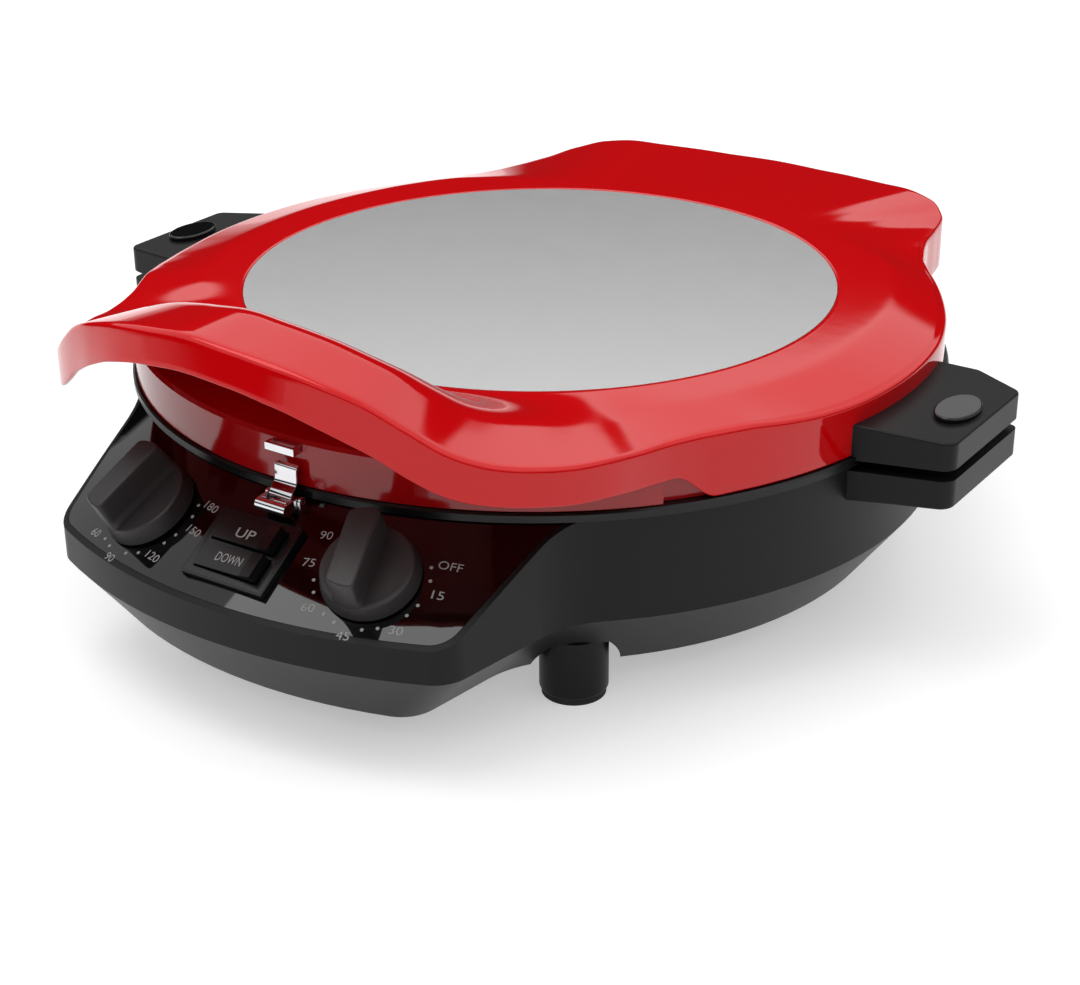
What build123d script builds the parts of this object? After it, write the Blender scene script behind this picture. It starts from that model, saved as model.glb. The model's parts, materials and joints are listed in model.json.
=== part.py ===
"""Countertop pizza maker with a hinged lid, built as separate pieces in millimetres.

The frame has +Z up, +X to the right and the control panel towards -Y. The origin is on the table,
below the middle of the whole object. The round cooking part turns about the cooking axis, which
stands AXIS_Y behind the origin. An azimuth is measured about that axis from the front (-Y), and is
positive towards +X. A ring radius is a distance from that axis.
"""
from build123d import *

import os
from math import cos, hypot, radians, sin, tan

os.makedirs("parts", exist_ok=True)

# Heights above the table
FOOT_HEIGHT = 17.0
CHINE_Z = 49.0
WALL_TOP_Z = 98.0
RIM_THICKNESS = 4.0
LID_GAP = 0.3
DECK_Z = 134.0

# Base housing
BODY_R = 197.0
BOX_DEPTH = 55.0
BEVEL_INSET = 24.0
BOX_HALF_WIDTH = 109.0
BOX_FOOT_HALF_WIDTH = 80.0
BOX_NECK_AZIMUTH = 37.5
BOX_FOOT_NECK_AZIMUTH = 31.0
BOX_CORNER_FILLET = 17.0
BOX_NECK_FILLET = 46.0
HOUSING_WALL = 3.0
RIM_BEAM_HEIGHT = 12.0

# Control panel: a strip of a cone that slopes down and outwards from the rim
PANEL_SLOPE = 32.0
PANEL_DROP = 1.0
PANEL_TUCK = 1.4
PANEL_THICKNESS = 2.0
PANEL_BORDER = 2.6
PANEL_GAP = 0.2
PANEL_DECK = 2.5

# Knobs and what they turn
CONTROLS_AZIMUTH = 0.55
KNOB_AZIMUTH = 15.6
KNOB_RIM_GAP = 3.9
KNOB_R = 21.6
KNOB_SKIRT = 8.4
KNOB_HEIGHT = 24.0
KNOB_GRIP_WIDTH = 13.0
KNOB_GRIP_SHIFT = -2.8
KNOB_GRIP_TAPER = 5.0
KNOB_GRIP_INSET = 0.6
KNOB_EDGE = 0.8
KNOB_STAND_OFF = 0.6
SHAFT_R = 3.0
SHAFT_FIT = 0.05
SHAFT_TOP = 7.0
SHAFT_END_GAP = 0.4
SHAFT_DEPTH = 10.0
BUSH_R = 4.5
BUSH_GAP = 0.1
BUSH_FLANGE_R = 7.0
CONTROL_BODY = 30.0
CONTROL_DEPTH = 16.0
CONTROL_DROP = 1.0

# Rocker switches
SWITCH_AZIMUTH = 0.75
SWITCH_SETBACK = 1.8
SWITCH_WIDTH = 44.0
SWITCH_LENGTH = 35.0
SWITCH_PROUD = 3.0
SWITCH_DEPTH = 16.0
SWITCH_FLOOR = 3.0
SWITCH_FLANGE = 2.0
SWITCH_GAP = 0.3
SWITCH_EDGE = 0.6
ROCKER_WIDTH = 33.0
ROCKER_LENGTH = 12.0
ROCKER_THICKNESS = 9.0
ROCKER_PROUD = 3.2
ROCKER_DISH = 1.6
ROCKER_KINK_X = 9.0
ROCKER_TILT = 7.0
ROCKER_END_GAP = 0.9
ROCKER_SIDE_GAP = 0.5
ROCKER_DIVIDER = 1.4
ROCKER_PIN_R = 1.5
ROCKER_PIN_DEPTH = 0.5
ROCKER_PIN_END_GAP = 0.15
ROCKER_PIVOT_DROP = 0.5
PIN_FIT = 0.05

# Rim ring, pan and lower heater
RIM_OVERHANG = 3.0
RIM_WIDTH = 24.0
RIM_SEAT_WIDTH = 7.0
RIM_LEDGE = 1.6
RIM_EDGE = 0.8
SEAT_GAP = 0.2
PAN_SHEET = 1.5
PAN_FLARE = 17.4
PAN_WALL_GAP = 0.6
PAN_DEPTH = 21.0
ELEMENT_R = 112.0
ELEMENT_TUBE_R = 3.5
ELEMENT_GAP = 3.0
REFLECTOR_SHEET = 1.2
REFLECTOR_CLEARANCE = 4.0
REFLECTOR_FLARE = 16.0
REFLECTOR_WALL_GAP = 2.0
REFLECTOR_GAP = 2.6
CLIP_WIDTH = 10.0
CLIP_LENGTH = 9.0
CLIP_TOP = 1.0
CLIP_AZIMUTHS = (60.0, 180.0, 300.0)

# Feet
FOOT_R = 15.5
FOOT_INSET = 28.0
FOOT_AZIMUTH = 38.9
FOOT_PAD_R = 14.5
FOOT_PAD_THICKNESS = 3.0
FOOT_TOP_Z = 31.0
FOOT_EDGE = 1.2
FOOT_POCKET_GAP = 5.0
FOOT_POCKET_WALL = 2.5
FOOT_SCREW_R = 2.0
FOOT_SCREW_HEAD_R = 4.0
FOOT_SCREW_HEAD = 2.5
FOOT_SCREW_SINK = 9.0
FOOT_SINK_GAP = 1.0
FOOT_SCREW_REACH = 7.0
FOOT_BOSS_R = 6.0
FOOT_BOSS_HEIGHT = 10.0

# Bottom cover and its screws
COVER_PLATE = 2.5
COVER_GAP = 0.4
LUG_AZIMUTHS = (-80.0, 80.0, -165.0, 165.0)
LUG_WIDTH = 12.0
LUG_REACH = 41.0
LUG_HEIGHT = 11.0
LUG_SCREW_INSET = 7.0
VENT_COUNT = 9
VENT_LENGTH = 70.0
VENT_WIDTH = 4.0
VENT_PITCH = 10.0
SCREW_R = 1.6
SCREW_HEAD_R = 3.2
SCREW_HEAD = 1.8
SCREW_REACH = 8.0
SCREW_GAP = 0.1

# Lid cover: a wavy ring with a visor over the panel and a lobe over the hinge
SKIRT_OVERHANG = 1.2
VISOR_OVERHANG = 50.8
VISOR_DRAFT = 4.2
VISOR_LIFT = 50.7
VISOR_BAND = 17.0
DRAFT_FULL_AZIMUTH = 8.0
DRAFT_END_AZIMUTH = 20.0
LOBE_OVERHANG = 47.0
LOBE_DROP = 1.6
SIDE_DROP = 7.2
BAND_FALL_START = 50.0
BAND_FALL_END = 56.0
COVER_WIDTH = 53.2
COVER_WALL = 2.5
CREASE_WIDTH = 23.0
CREASE_SOFTNESS = 0.12
CREASE_START_AZIMUTH = 16.0
CREASE_FULL_AZIMUTH = 30.0
RISE_SHARE = 0.68
DISC_THICKNESS = 1.2
DISC_LEDGE = 7.0
DISC_GAP = 0.3
COVER_LEDGE_THICKNESS = 1.4
COVER_STEP = 4
COVER_SHARES = (0.12, 0.27, 0.4, 0.52, 0.66, 0.82, 1.0)

# The cover's wave: azimuth, then shares of the overhang, the lift, the band's depth and the crease's width
VISOR_WAVE = (
    (0.0, 1.0, 1.0, 0.86, 0.0),
    (5.0, 1.0, 0.966, 0.86, 0.0),
    (10.0, 1.0, 0.907, 0.94, 0.0),
    (14.0, 1.0, 0.829, 1.08, 0.02),
    (18.0, 0.98, 0.72, 1.21, 0.22),
    (22.0, 0.943, 0.542, 1.24, 0.53),
    (26.0, 0.89, 0.358, 1.14, 0.86),
    (30.0, 0.805, 0.249, 1.03, 1.08),
    (34.0, 0.69, 0.19, 1.0, 1.15),
    (38.0, 0.553, 0.15, 0.99, 1.12),
    (42.0, 0.39, 0.126, 0.98, 1.05),
    (46.0, 0.21, 0.098, 0.98, 1.0),
    (50.0, 0.087, 0.093, 1.0, 1.0),
    (55.0, 0.014, 0.088, 1.0, 1.0),
    (60.0, 0.0, 0.083, 1.0, 1.0),
    (66.0, 0.0, 0.048, 1.0, 1.0),
    (72.0, 0.0, 0.017, 1.0, 1.0),
    (80.0, 0.0, 0.0, 1.0, 1.0),
    (90.0, 0.0, 0.0, 1.0, 1.0),
)
LOBE_WAVE = (
    (0.0, 1.0, 1.0, 1.0, 0.52),
    (6.0, 1.0, 0.96, 1.0, 0.52),
    (12.0, 1.0, 1.1, 1.0, 0.54),
    (17.0, 1.028, 1.18, 1.0, 0.56),
    (21.0, 1.062, 1.3, 1.0, 0.6),
    (25.0, 1.079, 1.04, 1.0, 0.68),
    (29.0, 0.953, 0.55, 1.0, 0.8),
    (33.0, 0.634, 0.3, 1.0, 0.9),
    (37.0, 0.328, 0.34, 1.0, 1.0),
    (41.0, 0.14, 0.27, 1.0, 1.1),
    (45.0, 0.026, 0.2, 1.0, 1.18),
    (50.0, 0.0, 0.07, 1.0, 1.28),
    (64.0, 0.0, 0.05, 1.0, 1.17),
    (90.0, 0.0, 0.0, 1.0, 1.0),
)

# Lid shell under the cover, with the hot plate and upper heater in it
SHELL_FRONT_AZIMUTH = 49.0
SHELL_GAP = 0.4
SHELL_WALL = 2.0
SHELL_TOP_DROP = 5.0
SHELL_SHOULDER_OUTSET = 7.0
SHELL_CHAMFER_Z = 117.5
SHELL_CHAMFER_RISE = 3.0
SHELL_CHAMFER_RUN = 5.3
SHELL_FRONT_Z = 121.5
SHELL_FRONT_BEVEL = 1.6
SHELL_STEP_INSET = 18.2
SHELL_STEP_DROP = 5.4
SHELL_KNEE_INSET = 33.2
SHELL_KNEE_DROP = 3.0
SHELL_RING_WIDTH = 5.5
LID_POST_R = 5.0
LID_POST_OUTSET = 7.0
LID_POST_AZIMUTHS = (60.0, 180.0, 300.0)
LID_POST_ROOT = 0.5
LID_PLATE_SHEET = 1.5
LID_PLATE_LIFT = 0.9
LID_PLATE_RISE = 11.8
LID_PLATE_INSET = 32.2
LID_PLATE_FLARE = 6.6
UPPER_REFLECTOR_INSET = 5.0
UPPER_REFLECTOR_LIP = 8.0
UPPER_ELEMENT_Z = 120.5

# Handles
HANDLE_REACH = 42.0
HANDLE_FRONT_Y = -41.0
HANDLE_BACK_Y = 31.0
HANDLE_SHOULDER = 26.0
HANDLE_ROOT_HALF = 45.0
HANDLE_ROOT_DEPTH = 12.0
UPPER_HANDLE_TOP_Z = 117.4
UPPER_HANDLE_TIP_Z = 104.8
UPPER_HANDLE_ROOT_Z = 100.0
LOWER_HANDLE_TOP_TIP_Z = 99.8
LOWER_HANDLE_TOP_ROOT_Z = 94.8
LOWER_HANDLE_TIP_Z = 86.6
LOWER_HANDLE_ROOT_Z = 80.0
HANDLE_CORNER = 6.0
HANDLE_EDGE = 1.2
HANDLE_RIM_GAP = 0.4
HANDLE_PAD_INSET = 14.0
HANDLE_PAD_Y = -6.0
HANDLE_PAD_LENGTH = 31.0
HANDLE_PAD_WIDTH = 19.0
HANDLE_PAD_HEIGHT = 2.6
HANDLE_PAD_EDGE = 1.0
HANDLE_SCREW_R = 2.0
HANDLE_SCREW_HEAD_R = 3.5
HANDLE_SCREW_HEAD = 2.0
HANDLE_SCREW_DEPTH = 16.0
HANDLE_SCREW_HALF = 20.0
UPPER_SCREW_Z = 110.0
LOWER_SCREW_Z = 88.5

# Hinge
HINGE_STAND_OFF = 17.0
HINGE_DROP = 1.0
HINGE_HUB_R = 7.0
HINGE_PIN_R = 3.0
HINGE_ARM_HALF = 23.0
HINGE_GAP = 0.4
HINGE_LUG = 10.6
HINGE_BLOCK_DROP = 17.0
HINGE_WEB_HEIGHT = 14.0
HINGE_WEB_GAP = 0.6
HINGE_WEB_TOP_ANGLE = 120.0
HINGE_WEB_LOW_ANGLE = -40.0
HINGE_ARM_GAP = 0.8
HINGE_ARM_HEIGHT = 9.0
HINGE_SCREW_X = 28.0
HINGE_SCREW_Z = 86.0
HINGE_SCREW_DEPTH = 12.0

# Latch
LATCH_X = 7.0
LEVER_WIDTH = 16.0
LEVER_ARM = 1.6
LEVER_EYE_R = 1.8
LEVER_PIVOT_OUT = 3.8
LEVER_PIVOT_Z = 97.8
STRAP_WIDTH = 12.0
STRAP_THICKNESS = 1.2
STRAP_PIVOT_OUT = 3.1
STRAP_PIVOT_Z = 96.2
STRAP_EYE_R = 1.9
STRAP_FACE_OUT = 2.5
STRAP_BEND_LOW_Z = 99.5
STRAP_BEND_HIGH_Z = 104.0
STRAP_TOP_Z = 111.0
STRAP_CURL_OUT = 0.5
STRAP_CURL_Z = 112.2
ROLL_OUT = 8.2
ROLL_Z = 96.6
ROLL_R = 2.7
LATCH_PIN_R = 1.0
LATCH_SIDE_GAP = 0.3
LATCH_EAR = 1.4
LATCH_FOOT = 3.0
LATCH_EAR_R = 2.2
LATCH_BASE = 0.8
LATCH_BASE_OUT = 1.0
LATCH_BASE_DEPTH = 3.6
KEEPER_X = 4.5
KEEPER_REACH = 5.2
KEEPER_WIDTH = 16.0
KEEPER_BAR = 1.6
KEEPER_Z = 119.2
KEEPER_HEIGHT = 3.6

# Mains inlet and the fittings inside
GLAND_R = 6.5
GLAND_FIT = 0.05
GLAND_BORE_R = 3.6
GLAND_LENGTH = 20.0
GLAND_INSIDE = 6.0
GLAND_HOLE_DEPTH = 20.0
GLAND_FLANGE_R = 8.5
GLAND_FLANGE = 2.5
GLAND_NECK = 4.0
GLAND_TAPER = 4.0
GLAND_X = -70.0
GLAND_Z = 62.0
TERMINAL_X = -58.0
TERMINAL_Y = 138.0
TERMINAL_LENGTH = 30.0
TERMINAL_WIDTH = 14.0
TERMINAL_HEIGHT = 12.0

# Sizes that only make room for a cut or a tool
CUT_OVERLAP = 1.0
CHECK_TOL = 0.01

# Values that follow from the ones above
BODY_FOOT_R = BODY_R - BEVEL_INSET
BOX_R = BODY_R + BOX_DEPTH
BOX_FOOT_R = BOX_R - BEVEL_INSET
RIM_R = BODY_R + RIM_OVERHANG
RIM_INNER_R = RIM_R - RIM_WIDTH
RIM_SEAT_R = RIM_INNER_R + RIM_SEAT_WIDTH
PAN_FLOOR_R = RIM_INNER_R - PAN_WALL_GAP - PAN_FLARE
REFLECTOR_MOUTH_R = RIM_INNER_R + REFLECTOR_CLEARANCE
REFLECTOR_FLOOR_R = REFLECTOR_MOUTH_R - REFLECTOR_FLARE
REFLECTOR_FLANGE_R = BODY_R - HOUSING_WALL - REFLECTOR_WALL_GAP
PANEL_TOP_Z = WALL_TOP_Z - PANEL_DROP
PANEL_INNER_R = RIM_R - PANEL_TUCK
KNOB_RING_R = RIM_R + KNOB_RIM_GAP + KNOB_R
SWITCH_RING_R = KNOB_RING_R + SWITCH_SETBACK
FOOT_RING_R = BODY_R - FOOT_INSET
LUG_INNER_R = BODY_R - LUG_REACH
LUG_SCREW_R = LUG_INNER_R + LUG_SCREW_INSET
SKIRT_R = BODY_R + SKIRT_OVERHANG
VISOR_REACH = SKIRT_R + VISOR_OVERHANG
LOBE_REACH = SKIRT_R + LOBE_OVERHANG
DISC_R = SKIRT_R - COVER_WIDTH
SHELL_SHOULDER_R = DISC_R + SHELL_SHOULDER_OUTSET
SHELL_STEP_R = SKIRT_R - SHELL_STEP_INSET
SHELL_KNEE_R = SKIRT_R - SHELL_KNEE_INSET
LID_POST_RING_R = DISC_R + LID_POST_OUTSET
LID_PLATE_MOUTH_R = SKIRT_R - LID_PLATE_INSET
LID_PLATE_FLAT_R = LID_PLATE_MOUTH_R - LID_PLATE_FLARE
UPPER_REFLECTOR_R = DISC_R - UPPER_REFLECTOR_INSET
HANDLE_TIP_X = BODY_R + HANDLE_REACH
HANDLE_SHOULDER_X = HANDLE_TIP_X - HANDLE_SHOULDER
HANDLE_ROOT_X = BODY_R - HANDLE_ROOT_DEPTH
HANDLE_PAD_X = HANDLE_TIP_X - HANDLE_PAD_INSET
HINGE_RING_R = BODY_R + HINGE_STAND_OFF
HINGE_Z = WALL_TOP_Z - HINGE_DROP
LEVER_PIVOT_R = RIM_R + LEVER_PIVOT_OUT
STRAP_PIVOT_R = LEVER_PIVOT_R + STRAP_PIVOT_OUT
STRAP_FACE_R = RIM_R + STRAP_FACE_OUT
STRAP_CURL_R = RIM_R + STRAP_CURL_OUT
ROLL_RING_R = LEVER_PIVOT_R + ROLL_OUT
LATCH_BASE_INNER_R = RIM_R + LATCH_BASE_OUT
LATCH_BASE_OUTER_R = LATCH_BASE_INNER_R + LATCH_BASE_DEPTH
AXIS_Y = (VISOR_REACH + VISOR_DRAFT - LOBE_REACH) / 2
RIM_TOP_Z = WALL_TOP_Z + RIM_THICKNESS
LID_Z = RIM_TOP_Z + LID_GAP
DECK_DROP = PANEL_THICKNESS + PANEL_DECK
SHAFT_HOLE_R = BUSH_R + BUSH_GAP
FOOT_AZIMUTHS = {
    "front_right": FOOT_AZIMUTH,
    "front_left": -FOOT_AZIMUTH,
    "back_right": 180 - FOOT_AZIMUTH,
    "back_left": FOOT_AZIMUTH - 180,
}
COOKING_AXIS = Axis((0, AXIS_Y, 0), (0, 0, 1))
SIDE = Plane(origin=(0, AXIS_Y, 0), x_dir=(0, 1, 0), z_dir=(1, 0, 0))


def level(height):
    """A horizontal plane at a height, with its origin on the cooking axis."""
    return Plane(origin=(0, AXIS_Y, height))


def upright(azimuth):
    """The upright plane through the cooking axis at an azimuth: x is the ring radius, y is up."""
    turn = radians(azimuth)
    return Plane(origin=(0, AXIS_Y, 0), x_dir=(sin(turn), -cos(turn), 0), z_dir=(-cos(turn), -sin(turn), 0))


def around(azimuth, radius):
    """The plan point at an azimuth and radius about the cooking axis."""
    return (radius * sin(radians(azimuth)), -radius * cos(radians(azimuth)))


def ease(share):
    """Runs smoothly from 0 to 1 while share does, and stays level outside."""
    share = min(max(share, 0.0), 1.0)
    return share * share * (3 - 2 * share)


def cone_z(radius):
    """Height of the control panel's cone at a radius."""
    return PANEL_TOP_Z - tan(radians(PANEL_SLOPE)) * (radius - RIM_R)


def panel_plane(azimuth, radius):
    """A plane on the panel's cone: x runs along the panel, y up the slope and z square out of it."""
    slope = radians(PANEL_SLOPE)
    turn = radians(azimuth)
    x, y = around(azimuth, radius)
    out = (sin(slope) * sin(turn), -sin(slope) * cos(turn), cos(slope))
    return Plane(origin=(x, y + AXIS_Y, cone_z(radius)), x_dir=(cos(turn), sin(turn), 0), z_dir=out)


def housing_outline(body_r, box_r, half_width, neck_azimuth, corner, neck):
    """Plan outline of the base: a circle with the control box swept out at the front."""
    neck_x, neck_y = around(neck_azimuth, body_r)
    front_y = -((box_r**2 - half_width**2) ** 0.5)
    with BuildSketch() as outline:
        with BuildLine():
            ThreePointArc((-half_width, front_y), (0, -box_r), (half_width, front_y))
            Line((half_width, front_y), (neck_x, neck_y))
            ThreePointArc((neck_x, neck_y), (0, body_r), (-neck_x, neck_y))
            Line((-neck_x, neck_y), (-half_width, front_y))
        make_face()
        fillet(outline.vertices().group_by(Axis.Y)[0], corner)
        neck_corners = outline.vertices().filter_by(lambda v: abs(hypot(v.X, v.Y) - body_r) < CHECK_TOL)
        fillet(neck_corners, neck)
    return outline.sketch


def wall_outline(inset):
    return housing_outline(
        BODY_R - inset,
        BOX_R - inset,
        BOX_HALF_WIDTH - inset,
        BOX_NECK_AZIMUTH,
        BOX_CORNER_FILLET - inset,
        BOX_NECK_FILLET + inset,
    )


def foot_outline(inset):
    return housing_outline(
        BODY_FOOT_R - inset,
        BOX_FOOT_R - inset,
        BOX_FOOT_HALF_WIDTH - inset,
        BOX_FOOT_NECK_AZIMUTH,
        BOX_CORNER_FILLET - inset,
        BOX_NECK_FILLET + inset,
    )


def cone_strip(inner, top_drop, bottom_drop):
    """Radial profile between two depths under the panel's cone, outwards from a radius."""
    outer = BOX_R + PANEL_BORDER
    top = top_drop / cos(radians(PANEL_SLOPE))
    bottom = bottom_drop / cos(radians(PANEL_SLOPE))
    return [
        (inner, cone_z(inner) - top),
        (outer, cone_z(outer) - top),
        (outer, cone_z(outer) - bottom),
        (inner, cone_z(inner) - bottom),
    ]


def spun(points):
    """A closed radial profile turned all the way round the cooking axis, as a solid of its own."""
    with BuildPart(mode=Mode.PRIVATE) as turned:
        with BuildSketch(upright(90)):
            with BuildLine():
                Polyline(points, close=True)
            make_face()
        revolve(axis=COOKING_AXIS)
    return turned.part


def ring(inner, outer, bottom, top):
    """A flat ring about the cooking axis, as a solid of its own."""
    return spun([(inner, bottom), (outer, bottom), (outer, top), (inner, top)])


def housing_body(inset, panel_drop):
    """All that lies inside the housing's walls at an inset, and under the panel's cone by a drop."""
    with BuildPart(mode=Mode.PRIVATE) as body:
        with BuildSketch(level(CHINE_Z)):
            add(wall_outline(inset))
        extrude(amount=WALL_TOP_Z - CHINE_Z)
        with BuildSketch(level(CHINE_Z)):
            add(wall_outline(inset))
        with BuildSketch(level(FOOT_HEIGHT)):
            add(foot_outline(inset))
        loft(ruled=True)
    return body.part - spun(cone_strip(BODY_R + CUT_OVERLAP, -WALL_TOP_Z, panel_drop))


def walled_strip(inner, border, top_drop, bottom_drop):
    """A sheet between two depths under the panel's cone, inside the walls by a border."""
    with BuildPart(mode=Mode.PRIVATE) as prism:
        with BuildSketch(level(FOOT_HEIGHT)):
            add(wall_outline(border))
        extrude(amount=WALL_TOP_Z)
    return prism.part & spun(cone_strip(inner, top_drop, bottom_drop))


def posts(places, radius, bottom, top):
    """Upright cylinders at plan points about the cooking axis, as a group of their own."""
    with BuildPart(mode=Mode.PRIVATE) as group:
        with BuildSketch(level(bottom)):
            with Locations(*places):
                Circle(radius)
        extrude(amount=top - bottom)
    return group.part


def rod(plane, radius, start, end):
    """A cylinder square to a plane between two heights above it, as a solid of its own."""
    with BuildPart(mode=Mode.PRIVATE) as round_bar:
        with BuildSketch(plane.offset(start)):
            Circle(radius)
        extrude(amount=end - start)
    return round_bar.part


def block(plane, length_x, length_y, start, end):
    """A box square to a plane between two heights above it, as a solid of its own."""
    with BuildPart(mode=Mode.PRIVATE) as bar:
        with BuildSketch(plane.offset(start)):
            Rectangle(length_x, length_y)
        extrude(amount=end - start)
    return bar.part


def save(piece, label):
    piece.part.label = label
    export_step(piece.part, f"parts/{label}.step")


# Planes and places that several pieces share
KNOB_PLANES = {
    "temperature": panel_plane(CONTROLS_AZIMUTH - KNOB_AZIMUTH, KNOB_RING_R),
    "timer": panel_plane(CONTROLS_AZIMUTH + KNOB_AZIMUTH, KNOB_RING_R),
}
SWITCH_PLANE = panel_plane(SWITCH_AZIMUTH, SWITCH_RING_R)
FOOT_PLACES = [around(azimuth, FOOT_RING_R) for azimuth in FOOT_AZIMUTHS.values()]
LUG_PLACES = [around(azimuth, LUG_SCREW_R) for azimuth in LUG_AZIMUTHS]
SWITCH_BODY_WIDTH = SWITCH_WIDTH - 2 * SWITCH_FLANGE
SWITCH_BODY_LENGTH = SWITCH_LENGTH - 2 * SWITCH_FLANGE
PLATE_TOP_Z = FOOT_HEIGHT + COVER_PLATE


def wall_screw_x(inner_r, half, head_r):
    """Where a screw head lies flat against the inside of a round wall, along the screw."""
    return (inner_r**2 - (half + head_r) ** 2) ** 0.5


# Seats of the screws that go through the round walls
SHELL_R = SKIRT_R - COVER_WALL - SHELL_GAP
lower_seat_x = wall_screw_x(BODY_R - HOUSING_WALL, HANDLE_SCREW_HALF, HANDLE_SCREW_HEAD_R)
upper_seat_x = wall_screw_x(SHELL_R - SHELL_WALL, HANDLE_SCREW_HALF, HANDLE_SCREW_HEAD_R)
hinge_seat_y = wall_screw_x(BODY_R - HOUSING_WALL, HINGE_SCREW_X, HANDLE_SCREW_HEAD_R)
hinge_seat = (0, AXIS_Y + hinge_seat_y, HINGE_SCREW_Z)
hinge_screw_plane = Plane(origin=hinge_seat, x_dir=(1, 0, 0), z_dir=(0, -1, 0))


def side_rods(height, radius, start_x, end_x):
    """Round bars along X on the handle screws' lines, two a side, as a group of their own."""
    with BuildPart(mode=Mode.PRIVATE) as group:
        with BuildSketch(Plane(origin=(start_x, AXIS_Y, height), x_dir=(0, 1, 0), z_dir=(1, 0, 0))):
            with Locations((-HANDLE_SCREW_HALF, 0), (HANDLE_SCREW_HALF, 0)):
                Circle(radius)
        extrude(amount=end_x - start_x)
        mirror(about=Plane.YZ)
    return group.part


def handle_screws(height, seat_x):
    """The four handle screws of one level: heads inside the wall, shanks out into the handles."""
    heads = side_rods(height, HANDLE_SCREW_HEAD_R, seat_x - HANDLE_SCREW_HEAD, seat_x)
    shanks = side_rods(height, HANDLE_SCREW_R, seat_x - HANDLE_SCREW_HEAD / 2, seat_x + HANDLE_SCREW_DEPTH)
    return heads + shanks


def handle_screw_holes(height, seat_x):
    """The holes for one level of handle screws."""
    end_x = seat_x + HANDLE_SCREW_DEPTH + SCREW_GAP
    return side_rods(height, HANDLE_SCREW_R + PIN_FIT, HANDLE_ROOT_X, end_x)


def hinge_rods(radius, start, end):
    """Round bars on the hinge screws' lines, measured from their heads towards the cooking axis."""
    with BuildPart(mode=Mode.PRIVATE) as group:
        with BuildSketch(hinge_screw_plane.offset(start)):
            with Locations((-HINGE_SCREW_X, 0), (HINGE_SCREW_X, 0)):
                Circle(radius)
        extrude(amount=end - start)
    return group.part


def ground_plane(azimuth, radius):
    """A horizontal plane at table height at a ring place: x runs round the ring, y inwards."""
    x, y = around(azimuth, radius)
    turn = radians(azimuth)
    return Plane(origin=(x, y + AXIS_Y, 0), x_dir=(cos(turn), sin(turn), 0), z_dir=(0, 0, 1))


# Solids that are cut from the housing, or kept when it is hollowed
pocket_r = FOOT_R + FOOT_POCKET_GAP
pocket_shells = posts(FOOT_PLACES, pocket_r + FOOT_POCKET_WALL, 0, FOOT_TOP_Z + FOOT_POCKET_WALL)
pocket_rooms = posts(FOOT_PLACES, pocket_r, 0, FOOT_TOP_Z)
foot_bosses = posts(FOOT_PLACES, FOOT_BOSS_R, FOOT_TOP_Z, FOOT_TOP_Z + FOOT_BOSS_HEIGHT)
foot_pilot_top_z = FOOT_TOP_Z + FOOT_SCREW_REACH + SCREW_GAP
foot_pilots = posts(FOOT_PLACES, FOOT_SCREW_R + PIN_FIT, FOOT_TOP_Z - CUT_OVERLAP, foot_pilot_top_z)
lug_pilot_top_z = PLATE_TOP_Z + SCREW_REACH + SCREW_GAP
lug_pilots = posts(LUG_PLACES, SCREW_R + PIN_FIT, PLATE_TOP_Z - CUT_OVERLAP, lug_pilot_top_z)
rim_beam = ring(BODY_R - HOUSING_WALL, BODY_R + CUT_OVERLAP, WALL_TOP_Z - RIM_BEAM_HEIGHT, WALL_TOP_Z)
lug_middle_r = (LUG_INNER_R + BODY_R) / 2
lug_planes = [ground_plane(azimuth, lug_middle_r) for azimuth in LUG_AZIMUTHS]
lug_top_z = PLATE_TOP_Z + LUG_HEIGHT
lugs = [block(plane, LUG_WIDTH, BODY_R - LUG_INNER_R, PLATE_TOP_Z, lug_top_z) for plane in lug_planes]
shaft_holes = [rod(plane, SHAFT_HOLE_R, -CONTROL_DEPTH, KNOB_STAND_OFF) for plane in KNOB_PLANES.values()]
switch_hole_width = SWITCH_BODY_WIDTH + 2 * SWITCH_GAP
switch_hole_length = SWITCH_BODY_LENGTH + 2 * SWITCH_GAP
switch_hole = block(SWITCH_PLANE, switch_hole_width, switch_hole_length, -SWITCH_DEPTH, SWITCH_PROUD)
window_width = SWITCH_WIDTH + 2 * SWITCH_GAP
window_length = SWITCH_LENGTH + 2 * SWITCH_GAP
switch_window = block(SWITCH_PLANE, window_width, window_length, -SWITCH_DEPTH, SWITCH_DEPTH)
gland_plane = Plane(origin=(GLAND_X, AXIS_Y, GLAND_Z), x_dir=(1, 0, 0), z_dir=(0, 1, 0))
gland_root = (BODY_R**2 - GLAND_X**2) ** 0.5
gland_hole = rod(gland_plane, GLAND_R + GLAND_FIT, gland_root - GLAND_HOLE_DEPTH, gland_root + GLAND_LENGTH)
lower_screw_holes = handle_screw_holes(LOWER_SCREW_Z, lower_seat_x)
upper_screw_holes = handle_screw_holes(UPPER_SCREW_Z, upper_seat_x)
hinge_screw_holes = hinge_rods(HANDLE_SCREW_R + PIN_FIT, -HINGE_SCREW_DEPTH - SCREW_GAP, HANDLE_SCREW_HEAD)
housing_solid = housing_body(0, 0)
housing_room = housing_body(HOUSING_WALL, DECK_DROP) - pocket_shells - foot_bosses - rim_beam - lugs
seat_inner_r = PANEL_INNER_R - PANEL_GAP
panel_seat = walled_strip(seat_inner_r, PANEL_BORDER - PANEL_GAP, -PANEL_THICKNESS, PANEL_THICKNESS)
panel_sheet = walled_strip(PANEL_INNER_R, PANEL_BORDER, 0, PANEL_THICKNESS)
under_panel = spun(cone_strip(PANEL_INNER_R, 0, DECK_DROP))

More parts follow.
